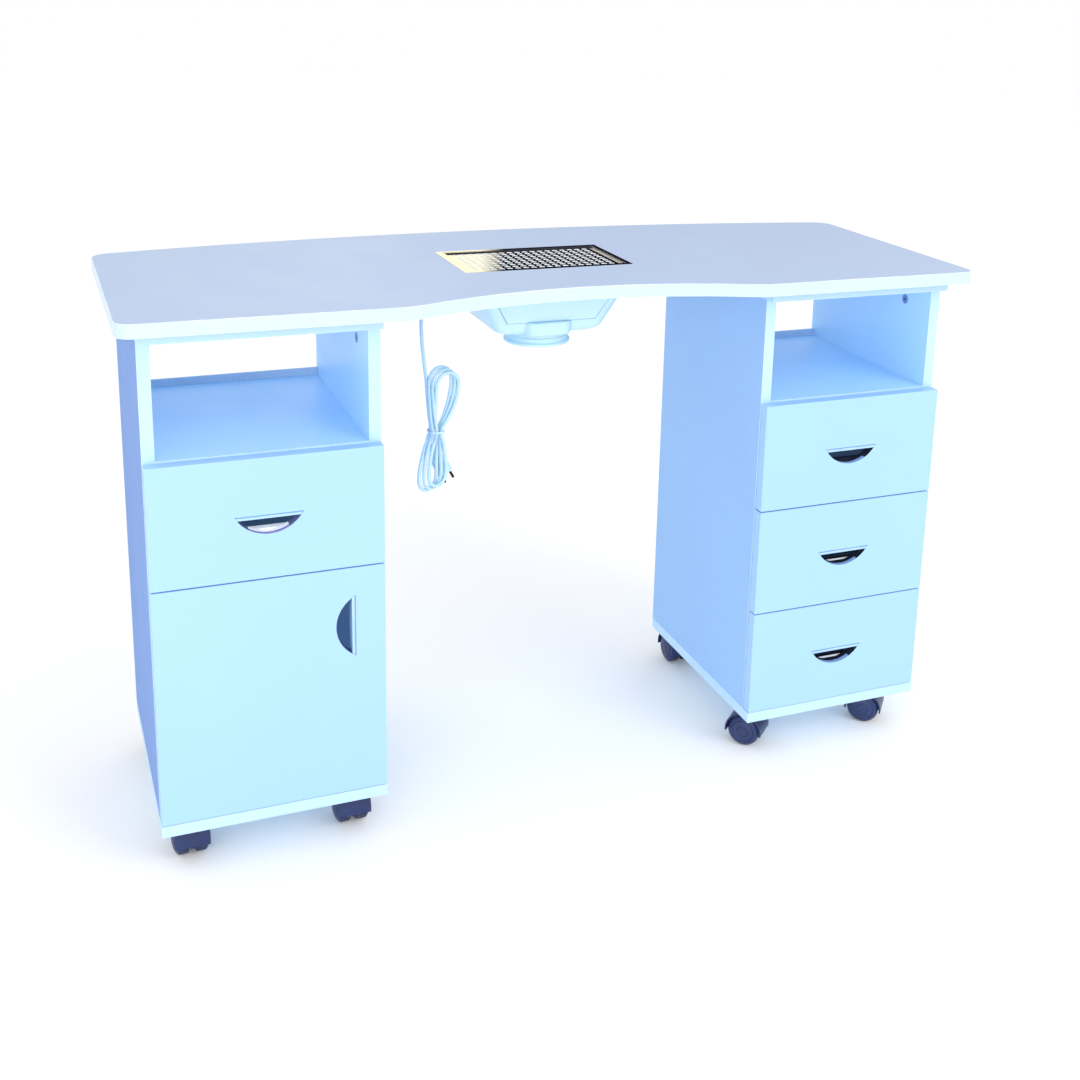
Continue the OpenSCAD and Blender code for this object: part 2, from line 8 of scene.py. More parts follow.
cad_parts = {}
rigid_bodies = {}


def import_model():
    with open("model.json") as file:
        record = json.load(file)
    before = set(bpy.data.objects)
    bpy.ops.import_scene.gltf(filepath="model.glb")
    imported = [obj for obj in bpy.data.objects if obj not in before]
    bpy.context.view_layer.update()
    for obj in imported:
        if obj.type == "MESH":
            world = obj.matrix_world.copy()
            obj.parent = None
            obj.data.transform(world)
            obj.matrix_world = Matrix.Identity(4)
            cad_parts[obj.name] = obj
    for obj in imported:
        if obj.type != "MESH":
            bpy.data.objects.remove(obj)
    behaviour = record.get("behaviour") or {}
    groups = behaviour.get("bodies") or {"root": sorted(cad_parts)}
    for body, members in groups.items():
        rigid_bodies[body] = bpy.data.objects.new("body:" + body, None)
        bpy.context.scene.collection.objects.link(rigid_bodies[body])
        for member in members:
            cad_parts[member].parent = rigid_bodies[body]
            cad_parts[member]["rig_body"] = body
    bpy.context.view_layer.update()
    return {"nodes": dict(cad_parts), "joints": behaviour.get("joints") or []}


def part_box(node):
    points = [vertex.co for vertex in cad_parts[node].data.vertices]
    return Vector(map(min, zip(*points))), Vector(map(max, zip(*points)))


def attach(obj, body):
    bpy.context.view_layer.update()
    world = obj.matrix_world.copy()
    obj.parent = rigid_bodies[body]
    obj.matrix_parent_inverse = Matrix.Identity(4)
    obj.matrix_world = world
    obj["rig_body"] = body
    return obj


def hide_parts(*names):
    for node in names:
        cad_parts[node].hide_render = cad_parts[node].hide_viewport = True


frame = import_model()

# The looks of a manicure table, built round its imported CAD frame. Lengths are in metres, +Z is up,
# the origin is on the floor under the middle of the worktop, and the drawer fronts face -Y.

# Driving sizes, as the CAD has them
TOP_HALF_W = 0.600
TOP_END_D = 0.425
BACK_BULGE = 0.060
SCOOP_D = 0.051
SCOOP_R = 0.620
SCOOP_BLEND_R = 0.080
FRONT_CORNER_R = 0.020
BACK_CORNER_R = 0.030
GRIP_HALF_W = 0.040
GRIP_H = 0.021
DOOR_GRIP_INSET = 0.0445
DOOR_GRIP_DROP = 0.082
HOLE_PITCH = 0.012
HOLE_R = 0.0042
HOLE_COLS = 18
HOLE_ROWS = 10
VENT_BORDER = 0.011
COLLAR_Y = -0.010
WHEEL_R = 0.025

# Mains lead
LEAD_D = 0.0055
LEAD_ROUTE = [
    (-0.152, -0.012, 0.712), (-0.158, -0.012, 0.711), (-0.164, -0.012, 0.708),
    (-0.169, -0.012, 0.703), (-0.172, -0.012, 0.697), (-0.174, -0.012, 0.688),
    (-0.1745, -0.012, 0.676), (-0.1745, -0.012, 0.662), (-0.174, -0.012, 0.648),
    (-0.173, -0.0115, 0.635), (-0.1715, -0.011, 0.622), (-0.170, -0.0105, 0.610),
    (-0.1685, -0.010, 0.598),
]
HANK_TURNS = 3
WAIST_Z = 0.506
PLUG_FACE = (-0.133, 0.008, 0.433)
PLUG_TILT = math.radians(28)
PLUG_L = 0.032
PLUG_CONE_L = 0.020


# Mesh helpers ------------------------------------------------------------------------


def body_of(node):
    """The CAD body that a node rides on."""
    return frame["nodes"][node]["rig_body"]


def wear_layer(bm):
    """The face layer that marks arrises, which the materials show as worn."""
    return bm.faces.layers.float.get("wear") or bm.faces.layers.float.new("wear")


def bevel(bm, edges, width, segments=2):
    """Rounds edges and marks the new faces as worn."""
    layer = wear_layer(bm)
    made = bmesh.ops.bevel(
        bm, geom=edges, offset=width, segments=segments, profile=0.5,
        affect="EDGES", clamp_overlap=True,
    )
    for face in made["faces"]:
        face[layer] = 1.0
        face.smooth = True


def sharp_edges(bm, angle=35):
    """Edges that turn by more than an angle in degrees."""
    limit = math.radians(angle)
    return [e for e in bm.edges if e.is_manifold and e.calc_face_angle() > limit]


def piece(name, bm, materials, body, replaced=(), smooth=None):
    """Makes an object of a bmesh that rides on a body and stands for some CAD nodes."""
    bmesh.ops.recalc_face_normals(bm, faces=bm.faces)
    mesh = bpy.data.meshes.new(name)
    bm.to_mesh(mesh)
    bm.free()
    for material in materials:
        mesh.materials.append(material)
    if smooth is not None:
        mesh.shade_smooth()
        mesh.set_sharp_from_angle(angle=math.radians(smooth))
    made = bpy.data.objects.new(name, mesh)
    bpy.context.scene.collection.objects.link(made)
    if smooth is not None:
        weighted = made.modifiers.new("weighted", "WEIGHTED_NORMAL")
        weighted.keep_sharp = True
    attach(made, body)
    if replaced:
        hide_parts(*replaced)
    return made


def arc(centre, radius, start, end, steps):
    """Points on an arc, with angles in degrees."""
    angles = [math.radians(start + (end - start) * i / steps) for i in range(steps + 1)]
    return [(centre[0] + radius * math.cos(a), centre[1] + radius * math.sin(a)) for a in angles]


def rounded_rectangle(half_w, half_d, radius, centre=(0, 0), steps=5):
    """The outline of a rectangle with round corners, counter-clockwise."""
    corners = [(1, -1, -90), (1, 1, 0), (-1, 1, 90), (-1, -1, 180)]
    points = []
    for sx, sy, start in corners:
        middle = (centre[0] + sx * (half_w - radius), centre[1] + sy * (half_d - radius))
        points += arc(middle, radius, start, start + 90, steps)
    return points


def add_plate(bm, loops, low, high, arris, segments=2):
    """A plate between two heights. The first loop is its outline, the others are holes."""
    layer = wear_layer(bm)
    old = set(bm.faces)
    caps = {low: [], high: []}
    for loop in loops:
        rings = {z: [bm.verts.new((x, y, z)) for x, y in loop] for z in caps}
        count = len(loop)
        for i in range(count):
            j = (i + 1) % count
            bm.faces.new((rings[low][i], rings[low][j], rings[high][j], rings[high][i]))
            for z in caps:
                caps[z].append(bm.edges.get((rings[z][i], rings[z][j])))
    for z in caps:
        bmesh.ops.triangle_fill(bm, use_beauty=True, use_dissolve=False, edges=caps[z])
    new = [f for f in bm.faces if f not in old]
    bmesh.ops.recalc_face_normals(bm, faces=new)
    for face in new:
        face[layer] = 0.0
    if arris:
        bevel(bm, caps[low] + caps[high], arris, segments)
    return [f for f in bm.faces if f not in old]


def add_box(bm, low, high, arris, segments=2):
    """A box with rounded edges."""
    wear_layer(bm)
    low, high = Vector(low), Vector(high)
    place = Matrix.Translation((low + high) / 2) @ Matrix.Diagonal((*(high - low), 1))
    made = bmesh.ops.create_cube(bm, size=1.0, matrix=place)
    edges = {e for v in made["verts"] for e in v.link_edges}
    bevel(bm, list(edges), arris, segments)


def add_lathe(bm, profile, place, steps=48, closed=False, material=0):
    """Turns (radius, height) points about local Z. A closed profile makes a ring."""
    rings = []
    for radius, height in profile:
        if radius < 1e-7:
            rings.append([bm.verts.new(place @ Vector((0, 0, height)))])
            continue
        turns = [2 * math.pi * k / steps for k in range(steps)]
        rings.append([
            bm.verts.new(place @ Vector((radius * math.cos(t), radius * math.sin(t), height)))
            for t in turns
        ])
    pairs = list(zip(rings, rings[1:] + (rings[:1] if closed else [])))
    for first, second in pairs[:len(rings) if closed else len(rings) - 1]:
        for k in range(steps):
            corners = []
            for ring, step in ((first, k), (first, k + 1), (second, k + 1), (second, k)):
                vert = ring[step % len(ring)]
                if vert not in corners:
                    corners.append(vert)
            if len(corners) > 2:
                face = bm.faces.new(corners)
                face.material_index = material


def add_loft(bm, rings, capped=True, material=0):
    """Joins rings of points into one skin."""
    rows = [[bm.verts.new(p) for p in ring] for ring in rings]
    faces = []
    for first, second in zip(rows, rows[1:]):
        count = len(first)
        for i in range(count):
            j = (i + 1) % count
            faces.append(bm.faces.new((first[i], first[j], second[j], second[i])))
    if capped:
        faces.append(bm.faces.new(list(reversed(rows[0]))))
        faces.append(bm.faces.new(rows[-1]))
    for face in faces:
        face.material_index = material


def ribs(count, start, pitch, radius, taper, groove, heights):
    """Lathe points for a row of ribs; heights are those of a rib's end and of the groove's ends."""
    points = []
    for k in range(count):
        z, r = start + pitch * k, radius - taper * k
        end, low, high = (z + h for h in heights)
        points += [(r, z), (r, end), (r - groove, low), (r - groove, high)]
    return points


def plan_of(node):
    """A node's middle in plan, its half width and half depth, and its lowest and highest z."""
    low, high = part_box(node)
    half_w, half_d = (high.x - low.x) / 2, (high.y - low.y) / 2
    return (0, (low.y + high.y) / 2), half_w, half_d, low.z, high.z


def standing(y):
    """Turns a plate made flat into an upright one whose top side faces -Y at that y."""
    return Matrix.Translation((0, y, 0)) @ Matrix.Rotation(math.pi / 2, 4, "X")


# Materials ----------------------------------------------------------------------------


def srgb(r, g, b):
    """A linear colour from 8-bit sRGB values."""
    return tuple(((c / 255 + 0.055) / 1.055) ** 2.4 for c in (r, g, b))


def shade(colour, factor):
    """A colour made darker or lighter."""
    return tuple(min(1.0, c * factor) for c in colour)


def noise(tree, scale, detail=3.0, stretch=(1, 1, 1)):
    """Noise in the object's own metres; scale is in waves per metre."""
    coords = tree.nodes.get("coords")
    if coords is None:
        coords = tree.nodes.new("ShaderNodeTexCoord")
        coords.name = "coords"
    mapping = tree.nodes.new("ShaderNodeMapping")
    mapping.inputs["Scale"].default_value = [scale * s for s in stretch]
    texture = tree.nodes.new("ShaderNodeTexNoise")
    texture.inputs["Scale"].default_value = 1.0
    texture.inputs["Detail"].default_value = detail
    tree.links.new(coords.outputs["Object"], mapping.inputs["Vector"])
    tree.links.new(mapping.outputs["Vector"], texture.inputs["Vector"])
    return texture.outputs["Fac"]


def remap(tree, value, low, high, to_low, to_high):
    """Maps one range to another, clamped."""
    node = tree.nodes.new("ShaderNodeMapRange")
    tree.links.new(value, node.inputs["Value"])
    limits = {"From Min": low, "From Max": high, "To Min": to_low, "To Max": to_high}
    for name, number in limits.items():
        node.inputs[name].default_value = number
    return node.outputs["Result"]


# Where the Mix node keeps its colour sockets
MIX_COLOUR_A = 6
MIX_COLOUR_OUT = 2


def mix(tree, share, first, second):
    """Mixes two colours; each is a tuple or a socket."""
    node = tree.nodes.new("ShaderNodeMix")
    node.data_type = "RGBA"
    tree.links.new(share, node.inputs["Factor"])
    for socket, value in zip(node.inputs[MIX_COLOUR_A:MIX_COLOUR_A + 2], (first, second)):
        if isinstance(value, tuple):
            socket.default_value = (*value, 1.0)
        else:
            tree.links.new(value, socket)
    return node.outputs[MIX_COLOUR_OUT]


def times(tree, first, second):
    """The product of two values, each a socket or a number."""
    node = tree.nodes.new("ShaderNodeMath")
    node.operation = "MULTIPLY"
    for socket, value in zip(node.inputs, (first, second)):
        if isinstance(value, (int, float)):
            socket.default_value = value
        else:
            tree.links.new(value, socket)
    return node.outputs["Value"]


def surface(name, colour, rough, metallic=0.0, specular=0.5, coat=0.0, cloud=4.0, cloud_dark=0.95,
            grain=900.0, grain_stretch=(1, 1, 1), bump=0.15, depth=0.0001, spread=0.05,
            worn=None, worn_share=0.7, specks=None, speck_scale=500.0, speck_limit=0.62, glow=0.0):
    """A procedural finish: clouded colour, fine grain in bump and roughness, wear and specks."""
    material = bpy.data.materials.new(name)
    material.use_nodes = True
    tree = material.node_tree
    shader = tree.nodes["Principled BSDF"]
    shader.inputs["Metallic"].default_value = metallic
    shader.inputs["Specular IOR Level"].default_value = specular
    shader.inputs["Coat Weight"].default_value = coat
    # Emission in the surface's own colour: on a part, any glow set here is painted light; on the floor it
    # only brightens it evenly.
    shader.inputs["Emission Color"].default_value = (*colour, 1.0)
    shader.inputs["Emission Strength"].default_value = glow
    clouds = remap(tree, noise(tree, cloud, 4.0), 0.35, 0.65, 0.0, 1.0)
    base = mix(tree, clouds, shade(colour, cloud_dark), colour)
    fine = noise(tree, grain, 2.0, grain_stretch)
    smear = noise(tree, cloud * 6, 3.0, (1.0, 0.6, 2.2))
    if specks is not None:
        flecks = remap(tree, noise(tree, speck_scale, 2.0), speck_limit, speck_limit + 0.05, 0.0, 1.0)
        base = mix(tree, flecks, base, specks)
    rough_fine = remap(tree, fine, 0.3, 0.7, rough - spread, rough + spread)
    rough_all = remap(tree, smear, 0.4, 0.7, 0.92, 1.12)
    roughness = times(tree, rough_fine, rough_all)
    if worn is not None:
        mark = tree.nodes.new("ShaderNodeAttribute")
        mark.attribute_name = "wear"
        patches = remap(tree, noise(tree, 45.0, 4.0), 0.38, 0.62, 0.1, worn_share)
        base = mix(tree, times(tree, mark.outputs["Fac"], patches), base, worn)
    tree.links.new(base, shader.inputs["Base Color"])
    tree.links.new(roughness, shader.inputs["Roughness"])
    relief = tree.nodes.new("ShaderNodeBump")
    relief.inputs["Strength"].default_value = bump
    relief.inputs["Distance"].default_value = depth
    tree.links.new(fine, relief.inputs["Height"])
    tree.links.new(relief.outputs["Normal"], shader.inputs["Normal"])
    return material


def laminate(name, colour, rough, worn, fleck=0.95, **own):
    """A printed laminate with fine flecks; own holds what differs from a carcass board's."""
    look = {"cloud": 3.0, "cloud_dark": 0.95, "grain": 1000.0, "bump": 0.14, "speck_scale": 600.0}
    return surface(name, colour, rough, specks=shade(colour, fleck), worn=worn, **{**look, **own})


def small_part(name, colour, rough, cloud_dark, bump, cloud=60.0, glow=0.0):
    """The plain finish of a part a few millimetres wide."""
    return surface(
        name, colour, rough, cloud=cloud, cloud_dark=cloud_dark, grain=800.0, bump=bump, glow=glow,
    )


# The worktop's lavender tint is painted light: it stands for the cast of the light from above.
TOP_COLOUR_PAINTED_LIGHT_TINT = srgb(178, 196, 226)
BAND_COLOUR = srgb(198, 220, 243)
FRONT_COLOUR = srgb(164, 206, 250)
CARCASS_COLOUR = srgb(152, 196, 244)
# A brighter copy of the carcass colour for the bays: painted light.
BAY_PAINTED_LIGHT_COLOUR = srgb(178, 220, 255)
SHADED_COLOUR = srgb(134, 164, 220)
PLASTIC_COLOUR = srgb(203, 236, 249)
NAVY = srgb(30, 48, 98)

laminate_top = laminate(
    "laminate_top", TOP_COLOUR_PAINTED_LIGHT_TINT, 0.50, BAND_COLOUR, 0.93, specular=0.3, cloud=2.2, grain=1100.0,
    bump=0.10, speck_scale=700.0,
)
laminate_front = laminate(
    "laminate_front", FRONT_COLOUR, 0.38, srgb(226, 246, 255), 0.96, cloud_dark=0.97, bump=0.12,
)
laminate_carcass = laminate("laminate_carcass", CARCASS_COLOUR, 0.42, BAND_COLOUR)
# The bay laminate also glows a little: painted light on most carcass faces.
laminate_bay_painted_light = laminate("laminate_bay_painted_light", BAY_PAINTED_LIGHT_COLOUR, 0.42, BAND_COLOUR, glow=0.07)
edge_band = surface(
    "edge_band", BAND_COLOUR, 0.30, cloud=8.0, cloud_dark=0.97, grain=500.0,
    grain_stretch=(0.2, 0.2, 3.0), bump=0.08, worn=srgb(240, 248, 255),
)
# The darker laminate of the left cabinet's outer side is painted shade.
laminate_painted_shade = laminate("laminate_painted_shade", SHADED_COLOUR, 0.85, BAND_COLOUR, specular=0.05)
carcass_band = surface(
    "carcass_band", srgb(190, 224, 250), 0.34, cloud=8.0, cloud_dark=0.97, grain=500.0,
    grain_stretch=(0.2, 0.2, 3.0), bump=0.08, worn=srgb(226, 242, 255),
)
bright_rim = small_part("bright_rim", srgb(236, 248, 255), 0.30, 0.97, 0.1)
# Darker blue in the groove beside the cut-out's strip: painted shade.
lip_groove_painted_shade = small_part("lip_groove_painted_shade", srgb(128, 172, 240), 0.45, 0.92, 0.2)
tray_laminate = surface(
    "tray_laminate", srgb(232, 240, 248), 0.45, cloud=4.0, grain=900.0, bump=0.15,
    specks=srgb(218, 228, 238), worn=srgb(245, 248, 252),
)
hardboard = surface(
    "hardboard", srgb(200, 220, 242), 0.55, cloud=6.0, cloud_dark=0.93, grain=350.0, bump=0.35,
    depth=0.0003, specks=srgb(180, 200, 226), speck_scale=260.0,
)
polished_steel = surface(
    "polished_steel", srgb(222, 220, 214), 0.035, metallic=1.0, cloud=12.0, cloud_dark=0.93,
    grain=300.0, grain_stretch=(1.0, 14.0, 1.0), bump=0.02, spread=0.015, worn=srgb(244, 242, 236),
)
# Near-white glowing hole walls: a painted highlight in place of the walls' bright reflection.
punched_edge_painted_highlight = surface(
    "punched_edge_painted_highlight", srgb(240, 244, 252), 0.60, cloud=30.0, cloud_dark=0.92, grain=900.0, bump=0.3,
    glow=0.3,
)
housing_plastic = surface(
    "housing_plastic", PLASTIC_COLOUR, 0.34, cloud=7.0, cloud_dark=0.97, grain=1300.0, bump=0.12,
    specks=shade(PLASTIC_COLOUR, 0.97), worn=srgb(230, 250, 255),
)
panel_line = surface(
    "panel_line", srgb(140, 176, 196), 0.5, cloud=20.0, cloud_dark=0.9, grain=900.0, bump=0.2,
)
dark_plastic = surface(
    "dark_plastic", srgb(44, 44, 50), 0.5, cloud=14.0, cloud_dark=0.8, grain=900.0, bump=0.3,
)
satin_steel = surface(
    "satin_steel", srgb(190, 196, 204), 0.34, metallic=1.0, cloud=25.0, cloud_dark=0.85,
    grain=500.0, grain_stretch=(1.0, 1.0, 10.0), bump=0.12, worn=srgb(226, 230, 236),
)
zinc = surface(
    "zinc", srgb(176, 184, 200), 0.38, metallic=1.0, cloud=120.0, cloud_dark=0.8, grain=700.0,
    bump=0.2, specks=srgb(150, 158, 176), speck_scale=900.0,
)
lock_cap = surface(
    "lock_cap", srgb(112, 142, 206), 0.4, cloud=120.0, cloud_dark=0.85, grain=900.0, bump=0.2,
)
grip_floor = small_part("grip_floor", srgb(150, 190, 244), 0.45, 0.9, 0.25, cloud=70.0)
# Lilac painted shade on the left drawer's cut-out floor.
grip_lilac_painted_shade = small_part("grip_lilac_painted_shade", srgb(166, 160, 226), 0.45, 0.9, 0.25, cloud=70.0)
# Painted shade for the cut-out sides: grey for the left drawer, slate for the door, standing for the dim
# inside.
painted_shade_grey = small_part("painted_shade_grey", srgb(112, 122, 160), 0.5, 0.85, 0.3)
painted_shade_slate = small_part("painted_shade_slate", srgb(84, 104, 164), 0.5, 0.85, 0.3)
# Near-black painted shade for recesses and for insides seen through cut-outs.
painted_shade_dark = surface("painted_shade_dark", srgb(26, 30, 52), 0.6, cloud=80.0, cloud_dark=0.7, bump=0.3)
# Glowing white for the drawer boxes' inner front edges: painted light.
tray_edge_painted_light = small_part("tray_edge_painted_light", srgb(246, 250, 255), 0.4, 0.94, 0.15, glow=0.35)
hood_plastic = surface(
    "hood_plastic", NAVY, 0.36, cloud=30.0, cloud_dark=0.75, grain=1400.0, bump=0.25,
    specks=srgb(38, 54, 100), speck_scale=900.0, worn=srgb(70, 96, 150),
)
wheel_plastic = surface(
    "wheel_plastic", srgb(36, 54, 104), 0.42, cloud=40.0, cloud_dark=0.7, grain=900.0, bump=0.3,
    specks=srgb(60, 76, 116), speck_scale=500.0, speck_limit=0.66, worn=srgb(76, 96, 140),
)
tread_rubber = surface(
    "tread_rubber", srgb(28, 42, 84), 0.62, cloud=50.0, cloud_dark=0.7, grain=600.0, bump=0.5,
    depth=0.0003, specks=srgb(84, 94, 122), speck_scale=320.0, speck_limit=0.6,
)
black_paint = surface(
    "black_paint", srgb(26, 30, 46), 0.45, cloud=60.0, cloud_dark=0.7, grain=900.0, bump=0.3,
    specks=srgb(60, 66, 84), speck_scale=600.0, speck_limit=0.68,
)
rail_plastic = surface("rail_plastic", srgb(228, 230, 228), 0.5, cloud=30.0, grain=900.0, bump=0.25)
lead_vinyl = surface(
    "lead_vinyl", srgb(205, 236, 252), 0.36, cloud=60.0, cloud_dark=0.95, grain=420.0, bump=0.25,
    depth=0.0003, specks=srgb(176, 212, 244), speck_scale=300.0, speck_limit=0.66,
)
plug_plastic = surface(
    "plug_plastic", srgb(205, 236, 252), 0.32, cloud=60.0, cloud_dark=0.94, grain=1200.0,
    bump=0.15, worn=srgb(228, 246, 255),
)
pin_black = surface(
    "pin_black", srgb(22, 22, 28), 0.3, metallic=0.6, cloud=200.0, cloud_dark=0.7, bump=0.2,
    worn=srgb(80, 82, 92),
)


# Camera -------------------------------------------------------------------------------

camera = bpy.data.objects.new("camera", bpy.data.cameras.new("camera"))
bpy.context.scene.collection.objects.link(camera)
bpy.context.scene.camera = camera
camera.location = (-0.7014, -1.9058, 1.1606)
camera.rotation_euler = (1.31928, -0.03224, -0.40241)
camera.data.lens = 47.27
camera.data.sensor_width = 36.0
camera.data.shift_x = -0.0684
camera.data.shift_y = -0.1898


# Mains lead ---------------------------------------------------------------------------


# Each fold of the hank lies in an upright plane that is turned a little about Z, so that its
# left end is in front. Every turn starts a step further right and further forward.
TOP_FOLD = {
    "centre": (-0.1455, -0.0080, 0.5815), "step": (0.0045, -0.0038, -0.0035), "radius": 0.0190,
    "turned": math.radians(18),
}
LOW_FOLD = {
    "centre": (-0.1648, -0.0096, 0.4335), "step": (0.0068, -0.0024, 0.0032), "radius": 0.0173,
    "turned": math.radians(29),
}
WAIST_LEFT = [(-0.1605, -0.0090), (-0.1590, -0.0145), (-0.1535, -0.0180), (-0.1560, -0.0038)]
WAIST_RIGHT = [(-0.1475, -0.0055), (-0.1470, -0.0108), (-0.1462, -0.0164)]


def fold_point(fold, turn, angle):
    """A point on a fold of the hank; 0 degrees is its right end, 90 its top."""
    centre = Vector(fold["centre"]) + Vector(fold["step"]) * turn
    across = Vector((math.cos(fold["turned"]), math.sin(fold["turned"]), 0))
    angle = math.radians(angle)
    spoke = math.cos(angle) * across + math.sin(angle) * Vector((0, 0, 1))
    return centre + fold["radius"] * spoke


def strand(end, waist, shares):
    """Points between a fold's end and the waist, upright at the fold."""
    points = []
    for share in shares:
        reach = math.sin(share * math.pi / 2)
        points.append((
            waist[0] + (end.x - waist[0]) * reach, waist[1] + (end.y - waist[1]) * reach,
            WAIST_Z + (end.z - WAIST_Z) * share,
        ))
    return points


def hank_points():
    """The hank's turns: down the left, round the bottom, up the right and over the top."""
    up, down = (0.0, 0.28, 0.62, 1.0), (1.0, 0.62, 0.28)
    points = []
    for turn in range(HANK_TURNS):
        low_left, low_right = fold_point(LOW_FOLD, turn, 180), fold_point(LOW_FOLD, turn, 360)
        top_right, top_left = fold_point(TOP_FOLD, turn, 0), fold_point(TOP_FOLD, turn, 180)
        points += strand(low_left, WAIST_LEFT[turn], up)
        points += [fold_point(LOW_FOLD, turn, angle) for angle in (210, 240, 270, 300, 330)]
        points += strand(low_right, WAIST_RIGHT[turn], down)
        points += strand(top_right, WAIST_RIGHT[turn], up)
        points += [fold_point(TOP_FOLD, turn, angle) for angle in (30, 60, 90, 120, 150)]
        points += strand(top_left, WAIST_LEFT[turn + 1], down)
    return points


def make_lead():
    """The lead as one curve: the hanging stretch, the hank and the tail to the plug."""
    entry = [(-0.1667, -0.0095, 0.584), (-0.1650, -0.0090, 0.560), (-0.1625, -0.0086, 0.532)]
    cone_top = plug_point(PLUG_L + PLUG_CONE_L)
    tail = [
        (*WAIST_LEFT[-1], WAIST_Z), (-0.1575, -0.0012, 0.5020), (-0.1591, 0.0019, 0.4972),
        (-0.1601, 0.0049, 0.4917), (-0.1598, 0.0071, 0.4856), tuple(cone_top),
    ]
    route = LEAD_ROUTE + entry + hank_points() + tail
    curve = bpy.data.curves.new("mains_lead", "CURVE")
    curve.dimensions = "3D"
    curve.bevel_depth = LEAD_D / 2
    curve.bevel_resolution = 4
    curve.resolution_u = 6
    curve.use_fill_caps = True
    spline = curve.splines.new("BEZIER")
    spline.bezier_points.add(len(route) - 1)
    for knot, point in zip(spline.bezier_points, route):
        knot.co = point
        knot.handle_left_type = "AUTO"
        knot.handle_right_type = "AUTO"
    curve.materials.append(lead_vinyl)
    lead = bpy.data.objects.new("mains_lead", curve)
    bpy.context.scene.collection.objects.link(lead)
    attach(lead, "root")
    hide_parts("cord_lead", "cord_hank")
    return lead


def plug_matrix():
    """Places the plug: local Z runs from the pin face towards the lead."""
    return Matrix.Translation(PLUG_FACE) @ Matrix.Rotation(-PLUG_TILT, 4, "Y")


def plug_point(height):
    """A point on the plug's axis."""
    return plug_matrix() @ Vector((0, 0, height))


def make_plug():
    """Moulded two-pin plug: waisted body, ribbed cone and two round pins."""
    bm = bmesh.new()
    place = plug_matrix()
    levels = [
        (0.0, 0.0106, 0.0058, 0.0050), (0.0012, 0.0118, 0.0069, 0.0056),
        (0.010, 0.0120, 0.0070, 0.0058), (0.020, 0.0112, 0.0067, 0.0058),
        (0.028, 0.0096, 0.0062, 0.0056), (0.033, 0.0074, 0.0056, 0.0052),
        (0.037, 0.0056, 0.0050, 0.0048),
    ]
    rings = []
    for height, half_w, half_d, radius in levels:
        outline = rounded_rectangle(half_w, half_d, radius, steps=6)
        rings.append([place @ Vector((x, y, height)) for x, y in outline])
    add_loft(bm, rings)
    profile = [(0.0, 0.036), (0.0052, 0.036)]
    profile += ribs(5, 0.0375, 0.0028, 0.0050, 0.00032, 0.0009, (0.0014, 0.0016, 0.0026))
    profile += [(0.0033, PLUG_L + PLUG_CONE_L), (0.0, PLUG_L + PLUG_CONE_L)]
    add_lathe(bm, profile, place, steps=24)
    body = piece("plug_body", bm, [plug_plastic], "root", ("plug",), smooth=40)
    bm = bmesh.new()
    for side in (-1, 1):
        shift = place @ Matrix.Translation((side * 0.007, 0, 0))
        shape = [
            (0.0, 0.002), (0.0020, 0.002), (0.0020, -0.0125), (0.0016, -0.0136), (0.0009, -0.0140),
            (0.0, -0.0140),
        ]
        add_lathe(bm, shape, shift, steps=20)
    pins = piece("plug_pins", bm, [pin_black], "root", smooth=40)
    return [body, pins]


def make_tie():
    """A flat coated wire tie: a band round the hank's waist and its two twisted ends."""
    bm = bmesh.new()
    middle_x, middle_y = -0.1532, -0.0117
    half_w, half_d = 0.0108, 0.0110
    thick, tall = 0.0007, 0.0034
    outline = rounded_rectangle(half_w, half_d, 0.006, (middle_x, middle_y), steps=6)
    outer = rounded_rectangle(half_w + thick, half_d + thick, 0.0067, (middle_x, middle_y), steps=6)
    add_plate(bm, [outer, outline], WAIST_Z - tall / 2, WAIST_Z + tall / 2, 0.0002)
    start = Vector((middle_x - 0.003, middle_y - half_d - 0.0006, WAIST_Z))
    for phase in (0.0, math.pi):
        rings = []
        for i in range(25):
            t = i / 24
            turn = phase + t * 5 * math.pi
            centre = start + Vector((-0.004 * t, -0.0015 - 0.0022 * math.sin(1.5 * t), -0.013 * t))
            across = Vector((math.cos(turn), math.sin(turn), 0))
            along = Vector((-math.sin(turn), math.cos(turn), 0))
            middle = centre + across * 0.0007
            rings.append([
                middle + along * 0.0013 * math.cos(a) + across * 0.0004 * math.sin(a)
                for a in (2 * math.pi * k / 8 for k in range(8))
            ])
        add_loft(bm, rings)
    return piece("hank_tie", bm, [lead_vinyl], "root", ("cord_tie",), smooth=40)


def make_strain_relief():
    """The tapered, ribbed sleeve where the lead leaves the housing."""
    bm = bmesh.new()
    low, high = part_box("cord_gland")
    place = Matrix.Translation((high.x, (low.y + high.y) / 2, (low.z + high.z) / 2))
    place = place @ Matrix.Rotation(-math.pi / 2, 4, "Y")
    profile = [(0.0, 0.0), (0.0065, 0.0), (0.0065, 0.0024), (0.0060, 0.0030), (0.0054, 0.0030)]
    profile += ribs(4, 0.0042, 0.0036, 0.0054, 0.0003, 0.0008, (0.0018, 0.0021, 0.0033))
    profile += [(0.0041, 0.0190), (0.0036, 0.0200), (0.0, 0.0200)]
    add_lathe(bm, profile, place, steps=32)
    return piece(
        "strain_relief", bm, [housing_plastic], "root", ("cord_gland",), smooth=40
    )


lead = make_lead()
plug_pieces = make_plug()
tie = make_tie()
relief = make_strain_relief()


# Worktop ------------------------------------------------------------------------------


